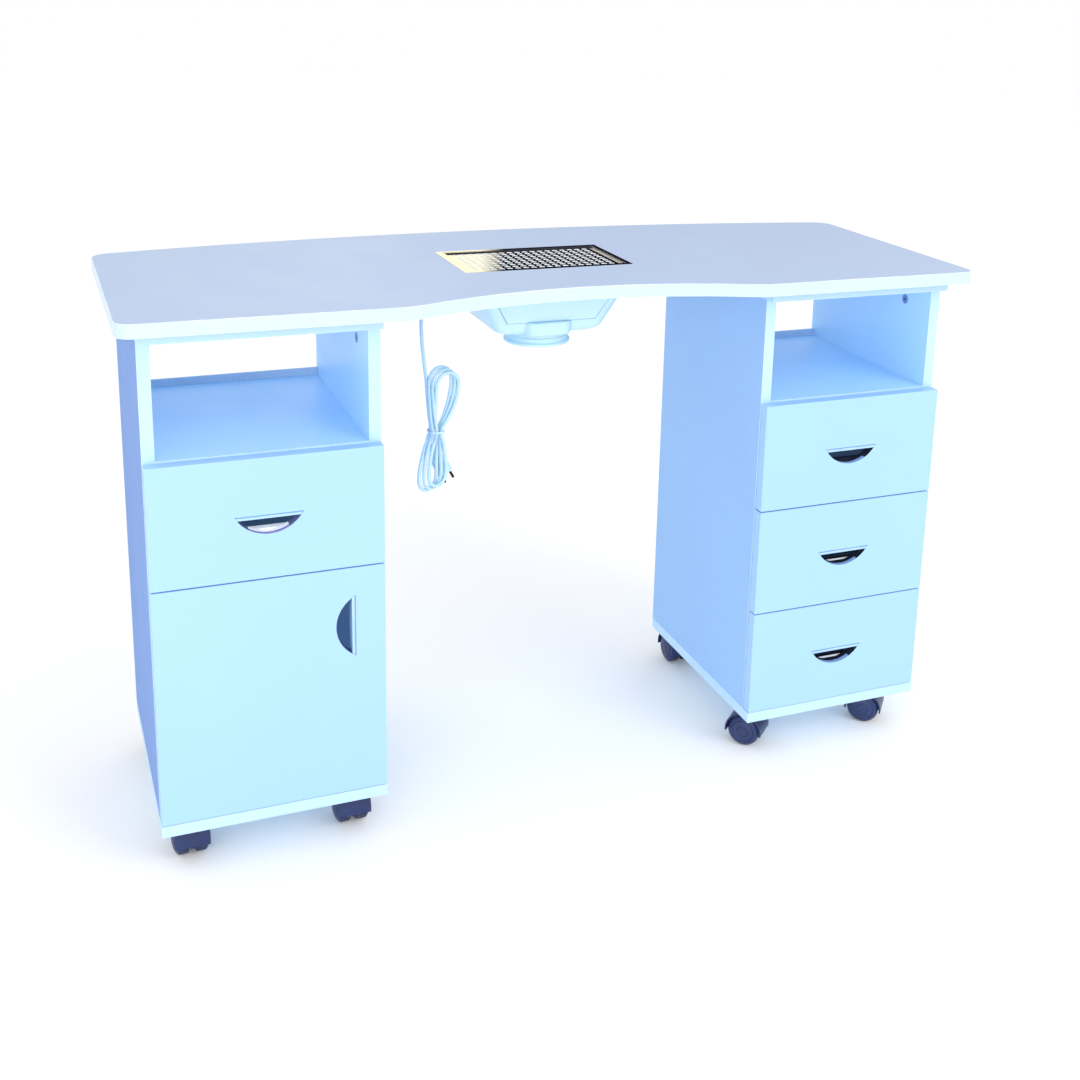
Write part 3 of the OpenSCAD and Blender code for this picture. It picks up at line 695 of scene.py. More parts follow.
def half_outline(steps):
    """The right half of the worktop's outline, from mid-front to mid-back."""
    front = -(TOP_END_D + BACK_BULGE) / 2
    back_r = (TOP_HALF_W ** 2 + BACK_BULGE ** 2) / (2 * BACK_BULGE)
    back_cy = -front - back_r
    reach = SCOOP_R + SCOOP_BLEND_R
    blend_x = math.sqrt(reach ** 2 - (reach - SCOOP_D) ** 2)
    blend_a = math.degrees(math.asin(blend_x / reach))
    corner_x = TOP_HALF_W - BACK_CORNER_R
    corner_y = back_cy + math.sqrt((back_r - BACK_CORNER_R) ** 2 - corner_x ** 2)
    corner_a = math.degrees(math.atan2(corner_y - back_cy, corner_x))
    middle = (0, front + SCOOP_D - SCOOP_R)
    corner = (TOP_HALF_W - FRONT_CORNER_R, front + FRONT_CORNER_R)
    points = arc(middle, SCOOP_R, 90, 90 - blend_a, 3 * steps)
    points += arc((blend_x, front + SCOOP_BLEND_R), SCOOP_BLEND_R, -90 - blend_a, -90, steps)[1:]
    points += arc(corner, FRONT_CORNER_R, -90, 0, steps)
    points += arc((corner_x, corner_y), BACK_CORNER_R, 0, corner_a, steps)
    points += arc((0, back_cy), back_r, corner_a, 90, 3 * steps)[1:]
    return points


def shrunk(points, distance):
    """An outline moved inwards; its points run counter-clockwise."""
    made = []
    count = len(points)
    for i, (x, y) in enumerate(points):
        ahead, behind = points[(i + 1) % count], points[i - 1]
        across = Vector((ahead[0] - behind[0], ahead[1] - behind[1])).normalized()
        made.append((x - across.y * distance, y + across.x * distance))
    return made


def make_worktop():
    """The laminated board and the edge band round it."""
    low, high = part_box("tabletop")
    right = half_outline(12)
    outline = right + [(-x, y) for x, y in reversed(right[1:-1])]
    band_t = 0.0012
    inner = shrunk(outline, band_t)
    centre, half_w, half_d, _, _ = plan_of("vent_frame")
    rebate_z = high.z - 0.002
    bm = bmesh.new()
    window = rounded_rectangle(half_w - 0.008, half_d - 0.008, 0.001, centre, 1)
    add_plate(bm, [inner, window], low.z, rebate_z, 0)
    rim = rounded_rectangle(half_w + 0.0004, half_d + 0.0004, 0.001, centre, 2)
    add_plate(bm, [inner, rim], rebate_z, high.z, 0.00025, 1)
    piece("worktop_board", bm, [laminate_top], "root", ("tabletop",))
    bm = bmesh.new()
    add_plate(bm, [outline, shrunk(outline, band_t - 0.00005)], low.z, high.z, 0)
    edge_points = {(round(x, 6), round(y, 6)) for x, y in outline}
    outer = [
        e for e in bm.edges
        if e.is_manifold and e.calc_face_angle() > 0.6
        and all((round(v.co.x, 6), round(v.co.y, 6)) in edge_points for v in e.verts)
    ]
    bevel(bm, outer, 0.0009, 3)
    piece("worktop_edge_band", bm, [edge_band], "root", smooth=35)


# Extractor ----------------------------------------------------------------------------


def make_vent_frame():
    """Two flush polished rims with a groove between them, and the skirt below. Faces that look to the
    front are painted near-black, a painted shade.
    """
    centre, half_w, half_d, low_z, high_z = plan_of("vent_frame")
    parts = [
        (0.0, 0.0078, high_z - 0.0018, high_z, 0.00008),
        (0.0085, VENT_BORDER, high_z - 0.0018, high_z - 0.0003, 0.00008),
        (0.002, VENT_BORDER - 0.0006, high_z - 0.002, high_z - 0.0007, 0),
        (0.0082, 0.0100, low_z, high_z - 0.0019, 0.0002),
    ]
    bm = bmesh.new()
    for start, end, bottom, top, arris in parts:
        loops = [
            rounded_rectangle(half_w - inset, half_d - inset, 0.0012, centre, 3)
            for inset in (start, end)
        ]
        add_plate(bm, loops, bottom, top, arris, 1)
    bm.normal_update()
    # Faces that look to the front get painted shade.
    for face in bm.faces:
        if face.normal.y < -0.5:
            face.material_index = 1
    piece("extractor_frame", bm, [polished_steel, painted_shade_dark], "root", ("vent_frame",))


def make_grille():
    """The perforated plate; each punched hole has a rounded rim, and the hole walls carry a glowing
    painted highlight.
    """
    centre, half_w, half_d, low_z, high_z = plan_of("vent_grille")
    loops = [rounded_rectangle(half_w, half_d, 0.001, centre, 1)]
    for i in range(HOLE_COLS):
        for j in range(HOLE_ROWS):
            x = (i - (HOLE_COLS - 1) / 2) * HOLE_PITCH
            y = centre[1] + (j - (HOLE_ROWS - 1) / 2) * HOLE_PITCH
            loops.append(list(reversed(arc((x, y), HOLE_R, 0, 360 - 15, 23))))
    bm = bmesh.new()
    add_plate(bm, loops, low_z, high_z, 0.0002, 1)
    # The hole walls take the painted highlight.
    for face in bm.faces:
        if abs(face.normal.z) < 0.5:
            face.material_index = 1
    piece("extractor_grille", bm, [polished_steel, punched_edge_painted_highlight], "root", ("vent_grille",))


def make_housing():
    """Tapered moulded housing with a flange, a raised front panel and the fan's scroll box."""
    centre, _, _, low_z, high_z = plan_of("fan_housing")
    flange_z = high_z - 0.003
    bm = bmesh.new()
    flange = rounded_rectangle(0.145, 0.102, 0.012, centre, 6)
    mouth = rounded_rectangle(0.112, 0.080, 0.010, centre, 6)
    add_plate(bm, [flange, mouth], flange_z, high_z, 0.0008)
    levels = [
        (flange_z, 0.1180, 0.0960, 0.016), (flange_z - 0.003, 0.1164, 0.0950, 0.016),
        (0.664, 0.0824, 0.0786, 0.014), (0.6605, 0.0798, 0.0770, 0.014),
        (0.6572, 0.0740, 0.0735, 0.013), (low_z, 0.0665, 0.0695, 0.012),
    ]
    rings = []
    for z, half_w, half_d, radius in levels:
        rings.append([(x, y, z) for x, y in rounded_rectangle(half_w, half_d, radius, centre, 6)])
    for z, half_w, half_d, radius in reversed(levels):
        inner_z = max(z, low_z + 0.003)
        outline = rounded_rectangle(half_w - 0.003, half_d - 0.003, radius - 0.002, centre, 6)
        rings.append([(x, y, inner_z) for x, y in outline])
    rings.append(rings[0])
    add_loft(bm, rings, capped=False)
    bmesh.ops.remove_doubles(bm, verts=bm.verts, dist=1e-6)
    floor = rounded_rectangle(0.0655, 0.0685, 0.011, centre, 6)
    outlet = list(reversed(arc((0, COLLAR_Y), 0.042, 0, 352.5, 47)))
    add_plate(bm, [floor, outlet], low_z, low_z + 0.003, 0)
    piece(
        "extractor_housing", bm, [housing_plastic], "root", ("fan_housing",), smooth=32
    )
    make_front_panel(centre, flange_z)
    make_scroll_box(low_z)


# The housing's sloping front wall: its lowest z, and its half-depths there and at the flange
WALL_LOW_Z = 0.660
WALL_LOW_D = 0.078
WALL_HIGH_D = 0.096


def wall_y(centre, z, flange_z):
    """y of the housing's sloping front wall at a height."""
    share = (z - WALL_LOW_Z) / (flange_z - WALL_LOW_Z)
    return centre[1] - (WALL_LOW_D + (WALL_HIGH_D - WALL_LOW_D) * share)


def make_front_panel(centre, flange_z):
    """The raised panel on the front wall, with a dark seam round it."""
    for name, grow, proud, material in (
        ("panel_seam", 0.0010, 0.0006, panel_line), ("front_panel", 0.0, 0.0016, housing_plastic)
    ):
        bm = bmesh.new()
        bottom, top = 0.6745 - grow, flange_z - 0.001
        half_low, half_high = 0.0665 + grow, 0.0970 + grow
        corners = [(-half_low, bottom), (half_low, bottom), (half_high, top), (-half_high, top)]
        rings = []
        for inset, lift in ((0.0, -0.0030), (0.0, proud - 0.0006), (0.0007, proud)):
            ring = []
            for x, z in corners:
                sx = 1 if x > 0 else -1
                sz = 1 if z == bottom else 0
                px, pz = x - sx * inset, z + sz * inset
                ring.append((px, wall_y(centre, pz, flange_z) - lift, pz))
            rings.append(ring)
        add_loft(bm, rings)
        piece(name, bm, [material], "root", smooth=30)


def make_scroll_box(low_z):
    """The box on the lower front of the housing, with softly rounded corners."""
    bm = bmesh.new()
    front, back = -0.0800, -0.0320
    centre_y = (front + back) / 2
    half_d = (back - front) / 2
    levels = [
        (low_z, 0.0315, 0.0020), (low_z + 0.0012, 0.0334, 0.0005), (low_z + 0.004, 0.0340, 0.0),
        (low_z + 0.0165, 0.0355, 0.0), (low_z + 0.0185, 0.0352, 0.0012),
        (low_z + 0.0194, 0.0335, 0.0040),
    ]
    rings = []
    for z, half_w, inset in levels:
        outline = rounded_rectangle(half_w, half_d - inset, 0.014 - inset, (-0.004, centre_y), 8)
        rings.append([(x, y, z) for x, y in outline])
    add_loft(bm, rings)
    piece("scroll_box", bm, [housing_plastic], "root", smooth=32)


def make_collar():
    """The round outlet: neck, bead and rolled lip."""
    low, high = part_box("outlet_collar")
    place = Matrix.Translation((0, COLLAR_Y, 0))
    z = low.z + 0.0022
    profile = [
        (0.0420, high.z), (0.0450, high.z), (0.0450, z + 0.0122), (0.0462, z + 0.0114),
        (0.0466, z + 0.0102), (0.0460, z + 0.0090), (0.0450, z + 0.0082), (0.0449, z + 0.0056),
        (0.0462, z + 0.0046), (0.0478, z + 0.0042), (0.0485, z + 0.0034), (0.0487, z + 0.0020),
        (0.0484, z + 0.0006), (0.0476, z), (0.0440, z), (0.0424, z + 0.0006), (0.0420, z + 0.0020),
    ]
    bm = bmesh.new()
    add_lathe(bm, profile, place, steps=96, closed=True)
    piece("outlet_ring", bm, [housing_plastic], "root", ("outlet_collar",), smooth=32)


BLADE_T = 0.0016
BLADE_SECTION = [
    (-1, 0), (-0.5, 0.35), (0, 0.5), (0.5, 0.35), (1, 0), (0.5, -0.1), (0, 0), (-0.5, -0.1),
]


def make_fan():
    """Motor with a ribbed can, and the impeller with its curved blades."""
    bm = bmesh.new()
    low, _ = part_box("fan_motor")
    place = Matrix.Translation((0, COLLAR_Y, low.z))
    profile = [
        (0.0035, 0.006), (0.0035, 0.0255), (0.0060, 0.0260), (0.0205, 0.0260), (0.0235, 0.0235),
    ]
    profile += ribs(6, 0.0215, -0.0032, 0.0240, 0.0, 0.0008, (-0.0018, -0.0020, -0.0030))
    profile += [(0.0240, 0.0010), (0.0232, 0.0), (0.0, 0.0), (0.0, 0.006)]
    add_lathe(bm, profile, place, steps=40)
    for angle in (30, 150, 270):
        arm = bmesh.ops.create_cube(
            bm, size=1.0,
            matrix=place @ Matrix.Rotation(math.radians(angle), 4, "Z")
            @ Matrix.Translation((0.0355, 0, 0.0015)) @ Matrix.Diagonal((0.031, 0.008, 0.003, 1)),
        )
        bevel(bm, list({e for v in arm["verts"] for e in v.link_edges}), 0.0008)
    piece("motor_can", bm, [dark_plastic], "root", ("fan_motor",), smooth=35)
    bm = bmesh.new()
    low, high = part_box("fan_impeller")
    hub_z = high.z - 0.014
    place = Matrix.Translation((0, COLLAR_Y, 0))
    hub = [
        (0.0, low.z), (0.0029, low.z), (0.0029, hub_z), (0.0132, hub_z), (0.0140, hub_z + 0.0008),
        (0.0140, high.z - 0.0016), (0.0124, high.z), (0.0, high.z),
    ]
    add_lathe(bm, hub, place, steps=32)
    for k in range(7):
        turn = place @ Matrix.Rotation(2 * math.pi * k / 7, 4, "Z")
        rings = []
        for i in range(9):
            t = i / 8
            radius = 0.0125 + 0.0415 * t
            twist = math.radians(38 - 16 * t)
            half = 0.0085 + 0.0020 * t
            across = Vector((0, math.cos(twist), math.sin(twist)))
            up = Vector((0, -math.sin(twist), math.cos(twist)))
            middle = Vector((radius, 0.004 * t * t, hub_z + 0.007))
            rings.append([
                turn @ (middle + across * half * a + up * BLADE_T * b) for a, b in BLADE_SECTION
            ])
        add_loft(bm, rings)
    piece("impeller", bm, [satin_steel], "fan_rotor", ("fan_impeller",), smooth=40)


def make_housing_screws():
    """Four cross-head screws under the flange."""
    low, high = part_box("housing_screws")
    inset = 0.0028
    bm = bmesh.new()
    for x in (low.x + inset, high.x - inset):
        for y in (low.y + inset, high.y - inset):
            place = Matrix.Translation((x, y, high.z)) @ Matrix.Rotation(math.pi, 4, "X")
            profile = [
                (0.0, 0.0), (0.0028, 0.0), (0.0027, 0.0008), (0.0021, 0.0015), (0.0012, 0.0019),
                (0.0, 0.0019),
            ]
            add_lathe(bm, profile, place, steps=20)
            for half_x, half_y in ((0.0013, 0.0003), (0.0003, 0.0013)):
                corner = Vector((half_x, half_y, 0.0001))
                middle = Vector((x, y, low.z + 0.00012))
                add_box(bm, middle - corner, middle + corner, 0.00005, 1)
    piece("flange_screws", bm, [zinc], "root", ("housing_screws",), smooth=40)


# Cabinets -----------------------------------------------------------------------------

FRONT, BACK, LEFT, RIGHT, UP, DOWN = (
    Vector((0, -1, 0)), Vector((0, 1, 0)), Vector((-1, 0, 0)), Vector((1, 0, 0)),
    Vector((0, 0, 1)), Vector((0, 0, -1)),
)


def board(name, node, sides, face, arris=0.0006, outer=None):
    """A laminated board in its CAD node's place, with edge band on the given sides. The outer
    side is a direction and its finish."""
    low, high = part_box(node)
    bm = bmesh.new()
    add_box(bm, low, high, arris)
    bm.normal_update()
    for panel in bm.faces:
        if any(panel.normal.dot(side) > 0.4 for side in sides):
            panel.material_index = 1
        elif outer and panel.normal.dot(outer[0]) > 0.9:
            panel.material_index = 2
    finishes = [face, carcass_band] + ([outer[1]] if outer else [])
    piece(name, bm, finishes, body_of(node), (node,))


def make_cabinets():
    """The carcass boards of both cabinets."""
    ends = (FRONT, BACK)
    for side in ("left", "right"):
        away, back = (LEFT, RIGHT) if side == "left" else (RIGHT, LEFT)
        # The left cabinet's outer side takes the darker laminate, a painted shade.
        outer = laminate_painted_shade if side == "left" else laminate_carcass
        # Most board faces take the brighter, glowing bay laminate, a painted light.
        board(f"{side}_plinth", f"{side}_base_board", ends + (LEFT, RIGHT), laminate_bay_painted_light)
        board(f"{side}_outer_panel", f"{side}_outer_side", ends, laminate_bay_painted_light, outer=(away, outer))
        board(
            f"{side}_inner_panel", f"{side}_inner_side", ends, laminate_bay_painted_light,
            outer=(back, laminate_carcass),
        )
        board(f"{side}_cap_board", f"{side}_top_board", ends, laminate_bay_painted_light)
        board(f"{side}_bay_shelf", f"{side}_shelf", ends, laminate_bay_painted_light)
        board(f"{side}_backing", f"{side}_back_panel", (), hardboard, 0.0004)
    board("left_rail", "left_divider", (FRONT, BACK), laminate_bay_painted_light)


def make_cam_locks():
    """Round lock heads, flush in the side panels' inner faces, each with a cross recess in near-black
    painted shade.
    """
    low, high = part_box("cam_locks")
    radius = 0.0074
    ys = (low.y + radius, high.y - radius)
    locks = bmesh.new()
    for side in ("left", "right"):
        outer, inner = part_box(f"{side}_outer_side"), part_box(f"{side}_inner_side")
        near, far = sorted((outer, inner), key=lambda box: box[0].x)
        for face_x, way in ((near[1].x, 1), (far[0].x, -1)):
            for y, z in lock_spots(ys, low, high, radius):
                place = Matrix.Translation((face_x, y, z)) @ Matrix.Rotation(way * math.pi / 2, 4, "Y")
                head = [
                    (0.0, -0.001), (radius, -0.001), (radius, 0.0002), (radius - 0.0004, 0.0005),
                    (0.0056, 0.0005), (0.0054, 0.0002), (0.0050, 0.0002), (0.0048, 0.0005), (0.0, 0.0005),
                ]
                add_lathe(locks, head, place, steps=28)
                for half_y, half_z in ((0.0034, 0.0007), (0.0007, 0.0034)):
                    before = set(locks.faces)
                    middle = Vector((face_x + way * 0.0005, y, z))
                    corner = Vector((0.0001, half_y, half_z))
                    add_box(locks, middle - corner, middle + corner, 0.00005, 1)
                    # The cross recess takes painted shade.
                    for made in set(locks.faces) - before:
                        made.material_index = 1
    piece("lock_heads", locks, [lock_cap, painted_shade_dark], "root", ("cam_locks",), smooth=40)


def lock_spots(ys, low, high, radius):
    """Where the locks sit in each panel: near the top and near the bottom, front and back."""
    panel_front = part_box("left_outer_side")[0].y
    top_z, low_z = high.z - radius, low.z + radius
    return [(panel_front + 0.065, top_z), (ys[1], top_z), (ys[0], low_z), (ys[1], low_z)]


# Fronts -------------------------------------------------------------------------------

GRIP_R = (GRIP_HALF_W ** 2 + GRIP_H ** 2) / (2 * GRIP_H)
LIP_H = 0.0034
LIP_GROOVE = 0.0018
LIP_GAP = 0.0003
# How far in the cut-out's floor keeps its own colour; behind that it takes the grip's painted shade and,
# on the left drawer, painted light.
GRIP_FLOOR_D = 0.0075


def grip_outline(rise, shrink=0.0, steps=28):
    """The finger cut-out: an arc below and a straight edge a rise above the CAD's own edge."""
    centre_v = GRIP_R - GRIP_H
    radius = GRIP_R - shrink
    half = math.sqrt(radius ** 2 - (rise - centre_v) ** 2)
    start = math.degrees(math.atan2(rise - centre_v, -half)) % 360
    end = math.degrees(math.atan2(rise - centre_v, half)) % 360
    return arc((0, centre_v), radius, start, end, steps)


def grip_lip(low, high):
    """Part of the moulded strip along the cut-out's straight edge, between two heights."""
    centre_v = GRIP_R - GRIP_H
    near, far = [math.sqrt((GRIP_R - LIP_GAP) ** 2 - (v - centre_v) ** 2) for v in (low, high)]
    return [(-near, low), (near, low), (far, high), (-far, high)]


def make_front(name, node, centre, grip, turned=False):
    """A front board with its cut-out and the strip along the cut-out's straight edge. The grip's
    finishes are those of the cut-out's floor in front and behind, and of its sides; most are painted
    shade, and on the left drawer the floor behind is painted light."""

    def placed(points):
        """Cut-out points in the front's own x and z. On the door the cut-out is on its side."""
        if turned:
            return [(centre[0] + v, centre[1] - u) for u, v in points]
        return [(centre[0] + u, centre[1] + v) for u, v in points]

    low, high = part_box(node)
    middle = ((low.x + high.x) / 2, (low.z + high.z) / 2)
    half_w, half_h = (high.x - low.x) / 2, (high.z - low.z) / 2
    outline = rounded_rectangle(half_w, half_h, 0.0004, middle, 2)
    hole = placed(grip_outline(LIP_H + LIP_GROOVE))
    thick = high.y - low.y
    bm = bmesh.new()
    add_plate(bm, [outline, list(reversed(hole))], 0.0, thick, 0.0007, 2)
    bmesh.ops.bisect_plane(
        bm, geom=[*bm.verts, *bm.edges, *bm.faces], plane_co=(0, 0, thick - GRIP_FLOOR_D),
        plane_no=(0, 0, 1),
    )
    for face in bm.faces:
        at = face.calc_center_median()
        inside = abs(at.x - middle[0]) < half_w - 0.003 and abs(at.y - middle[1]) < half_h - 0.003
        if not inside or abs(face.normal.z) > 0.95:
            continue
        floor_like = face.normal.x < -0.5 if turned else face.normal.y > 0.84
        if at.z > thick - 0.0008:
            face.material_index = 1
        # The floor's front part keeps its own colour; the floor behind it and the sides take the grip's
        # painted shade and painted light.
        elif floor_like:
            face.material_index = 2 if at.z > thick - GRIP_FLOOR_D else 3
        else:
            face.material_index = 4
    bmesh.ops.transform(bm, matrix=standing(high.y), verts=bm.verts)
    body = body_of(node)
    piece(name, bm, [laminate_front, bright_rim, *grip], body, (node,))
    bm = bmesh.new()
    add_plate(bm, [placed(grip_lip(0.0, LIP_H))], 0.0002, thick + 0.0004, 0.0006, 3)
    lip_faces = set(bm.faces)
    # The groove between the strip and the cut-out takes painted shade.
    add_plate(bm, [placed(grip_lip(LIP_H, LIP_H + LIP_GROOVE))], 0.0002, thick - 0.0008, 0.0002, 1)
    for face in bm.faces:
        if face not in lip_faces:
            face.material_index = 1
    bmesh.ops.transform(bm, matrix=standing(high.y), verts=bm.verts)
    piece(f"{name}_lip", bm, [laminate_front, lip_groove_painted_shade], body, smooth=40)


def make_tray(name, front, finishes):
    """A drawer box: grooved sides, back, low inner front and bottom. The finishes are those of
    the inner front's outer face, and of its top edge in front and behind; they are near-black
    painted shade and glowing white painted light."""
    low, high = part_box(f"{name}_walls")
    floor_low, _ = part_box(f"{name}_bottom")
    wall_t = floor_low.x - low.x
    rail_low, rail_high = groove_heights(front)
    groove = 0.0060
    bm = bmesh.new()
    for start, way in ((low.x, 1), (high.x, -1)):
        outline = [
            (start, low.z), (start + way * wall_t, low.z), (start + way * wall_t, high.z),
            (start, high.z), (start, rail_high), (start + way * groove, rail_high),
            (start + way * groove, rail_low), (start, rail_low),
        ]
        side = bmesh.new()
        add_plate(side, [outline if way > 0 else list(reversed(outline))], 0.0, high.y - low.y, 0)
        bevel(side, sharp_edges(side), 0.0004, 1)
        bmesh.ops.transform(side, matrix=standing(high.y), verts=side.verts)
        merge(bm, side)
    add_box(bm, (low.x + wall_t, high.y - wall_t, low.z), (high.x - wall_t, high.y, high.z), 0.0005)
    front_top = front[0] + TRAY_FRONT_H
    old = set(bm.faces)
    add_box(bm, (low.x + wall_t, low.y, low.z), (high.x - wall_t, low.y + wall_t, front_top), 0.0005)
    front_faces = set(bm.faces) - old
    parts = {part for f in front_faces for part in (f, *f.edges, *f.verts)}
    edge_y = low.y + TRAY_EDGE_D
    bmesh.ops.bisect_plane(bm, geom=list(parts), plane_co=(0, edge_y, 0), plane_no=(0, 1, 0))
    bm.normal_update()
    for face in set(bm.faces) - old:
        if face.normal.y < -0.4:
            face.material_index = 1
        elif face.normal.z > 0.4:
            face.material_index = 2 if face.calc_center_median().y < edge_y else 3
    piece(
        f"{name}_tray", bm, [tray_laminate, *finishes], body_of(f"{name}_walls"),
        (f"{name}_walls",),
    )
    board(f"{name}_base", f"{name}_bottom", (), hardboard, 0.0003)


def groove_heights(front):
    """Lowest and highest z of a drawer side's groove."""
    rail_lift, rail_h, play = 0.060, 0.017, 0.0005
    return front[0] + rail_lift - play, front[0] + rail_lift + rail_h + play


def merge(target, source):
    """Copies a bmesh into another and frees it."""
    mesh = bpy.data.meshes.new("merge")
    source.to_mesh(mesh)
    source.free()
    target.from_mesh(mesh)
    bpy.data.meshes.remove(mesh)


# Near-black painted shade and glowing white painted light on each drawer's inner front, seen through its
# cut-out.
TRAY_FINISHES = {
    "left_drawer": (tray_edge_painted_light, tray_edge_painted_light, tray_edge_painted_light),
    "right_drawer_1": (painted_shade_dark, painted_shade_dark, painted_shade_dark),
    "right_drawer_2": (painted_shade_dark, tray_edge_painted_light, painted_shade_dark),
    "right_drawer_3": (painted_shade_dark, tray_edge_painted_light, painted_shade_dark),
}
TRAY_EDGE_D = 0.0050
TRAY_FRONT_H = 0.061
# Grip finishes for the cut-out's floor in front and behind, and for its sides. Apart from the blue front
# floors all are painted shade, but the left drawer's floor behind is glowing painted light.
GRIP_PAINTED_SHADE = (grip_floor, painted_shade_dark, painted_shade_dark)
GRIP_PAINTED_LIGHT_AND_SHADE = (grip_lilac_painted_shade, tray_edge_painted_light, painted_shade_grey)
DOOR_GRIP = (grip_floor, painted_shade_slate, painted_shade_slate)


def make_fronts():
    """All drawers, and the door."""
    for name in ("left_drawer", "right_drawer_1", "right_drawer_2", "right_drawer_3"):
        low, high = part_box(f"{name}_front")
        centre = ((low.x + high.x) / 2, (low.z + high.z) / 2)
        grip = GRIP_PAINTED_LIGHT_AND_SHADE if name == "left_drawer" else GRIP_PAINTED_SHADE
        make_front(f"{name}_panel", f"{name}_front", centre, grip)
        make_tray(name, (low.z, high.z), TRAY_FINISHES[name])
    low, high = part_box("left_door")
    centre = (high.x - DOOR_GRIP_INSET, high.z - DOOR_GRIP_DROP)
    make_front("cupboard_door", "left_door", centre, DOOR_GRIP, turned=True)


# Castors ------------------------------------------------------------------------------


def castor_places():
    """For each castor: its number, pivot and axle points, and the direction that it trails in."""
    joints = {j["name"]: j for j in frame["joints"]}
    for number in range(1, 9):
        pivot = Vector(joints[f"caster_{number}_turn"]["pos_m"])
        axle = Vector(joints[f"caster_{number}_spin"]["pos_m"])
        trail = math.atan2(axle.y - pivot.y, axle.x - pivot.x)
        yield number, pivot, axle, trail


def make_hood(number, pivot, axle, trail):
    """The curved hood over both wheels, its web, and the boss round the kingpin."""
    inner, outer, half_w = WHEEL_R + 0.0015, WHEEL_R + 0.0040, 0.0230
    place = Matrix.Translation(axle) @ Matrix.Rotation(trail, 4, "Z")
    section = [
        (inner, -half_w + 0.0006), (inner, half_w - 0.0006), (inner + 0.0005, half_w),
        (outer - 0.0008, half_w), (outer, half_w - 0.0010), (outer, -half_w + 0.0010),
        (outer - 0.0008, -half_w), (inner + 0.0005, -half_w),
    ]
    bm = bmesh.new()
    rings = []
    for i in range(41):
        angle = math.radians(-8 + 196 * i / 40)
        rings.append([
            place @ Vector((r * math.cos(angle), y, r * math.sin(angle))) for r, y in section
        ])
    add_loft(bm, rings)
    web = []
    for y in (-0.003, 0.003):
        rim = arc((0, 0), inner + 0.0006, -17, 197, 32)
        web.append([place @ Vector((x, y, z)) for x, z in rim])
    add_loft(bm, web)
    boss_low, boss_high = pivot.z - 0.010, pivot.z + 0.0040
    boss = [
        (0.0, boss_low), (0.0082, boss_low), (0.0090, boss_low + 0.0008),
        (0.0090, boss_high - 0.0006), (0.0084, boss_high), (0.0, boss_high),
    ]
    add_lathe(bm, boss, Matrix.Translation((pivot.x, pivot.y, 0)), steps=32)
    name = f"caster_{number}"
    piece(
        f"{name}_cover", bm, [hood_plastic], f"{name}_swivel", (f"{name}_hood",),
        smooth=35,
    )


def make_wheels(number, pivot, axle, trail):
    """Twin wheels on one axle: rubber treads, domed faces with a groove and a hub cap."""
    bm = bmesh.new()
    place = Matrix.Translation(axle) @ Matrix.Rotation(trail, 4, "Z")
    gap = 0.0040
    for side in (-1, 1):
        turn = place @ Matrix.Rotation(-side * math.pi / 2, 4, "X")
        core = [
            (0.0040, 0.0), (0.0150, 0.0), (0.0160, 0.002), (0.0205, 0.002), (0.0215, 0.0),
            (0.0235, 0.0004), (0.0240, 0.0012), (0.0240, 0.0138), (0.0236, 0.0150), (0.0224, 0.0161),
            (0.0205, 0.0172), (0.0186, 0.0183), (0.0180, 0.0178), (0.0170, 0.0180), (0.0164, 0.0190),
            (0.0130, 0.0200), (0.0095, 0.0207), (0.0088, 0.0201), (0.0080, 0.0202), (0.0074, 0.0209),
            (0.0040, 0.0210), (0.0, 0.0210),
        ]
        tread = [
            (0.0232, 0.0012), (0.0246, 0.0014), (0.0250, 0.0024), (0.0250, 0.0126), (0.0246, 0.0138),
            (0.0232, 0.0142),
        ]
        core, tread = ([(radius, gap + z) for radius, z in shape] for shape in (core, tread))
        add_lathe(bm, core, turn, steps=48, material=0)
        add_lathe(bm, tread, turn, steps=48, closed=True, material=1)
    axle_pin = [(0.0, -gap), (0.0040, -gap), (0.0040, gap), (0.0, gap)]
    add_lathe(bm, axle_pin, place @ Matrix.Rotation(math.pi / 2, 4, "X"), steps=24, material=2)
    name = f"caster_{number}"
    piece(
        f"{name}_wheel_pair", bm, [wheel_plastic, tread_rubber, satin_steel], f"{name}_roll",
        (f"{name}_wheels",), smooth=35,
    )


def make_castor_plates():
    """Stamped mounting plates with four screws each, and the kingpins."""
    bm = bmesh.new()
    low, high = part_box("caster_plates")
    half = 0.021
    plate_t = 0.0025
    for _, pivot, _, _ in castor_places():
        plate_low = high.z - plate_t
        outline = rounded_rectangle(half, half, 0.005, (pivot.x, pivot.y), 4)
        add_plate(bm, [outline], plate_low, high.z, 0.0005)
        pin = [
            (0.0, low.z), (0.0034, low.z), (0.0040, low.z + 0.0008), (0.0040, plate_low - 0.0012),
            (0.0075, plate_low - 0.0004), (0.0082, plate_low), (0.0, plate_low),
        ]
        add_lathe(bm, pin, Matrix.Translation((pivot.x, pivot.y, 0)), steps=28)
        for sx in (-1, 1):
            for sy in (-1, 1):
                place = Matrix.Translation((pivot.x + sx * 0.0155, pivot.y + sy * 0.0155, plate_low))
                head = [(0.0, 0.0), (0.0033, 0.0), (0.0030, -0.0008), (0.0018, -0.0014), (0.0, -0.0015)]
                add_lathe(bm, head, place, steps=16, material=1)
    piece("castor_plates", bm, [black_paint, zinc], "root", ("caster_plates",), smooth=35)


# What stays as CAD made it -------------------------------------------------------------


def dress_cad_nodes():
    """Gives each CAD node that still shows its finish."""
    finishes = {
        "drawer_rails": rail_plastic, "door_pivots": zinc, "magnetic_catch": rail_plastic,
    }
    for name, material in finishes.items():
        data = frame["nodes"][name].data
        data.materials.clear()
        data.materials.append(material)


# Stage --------------------------------------------------------------------------------


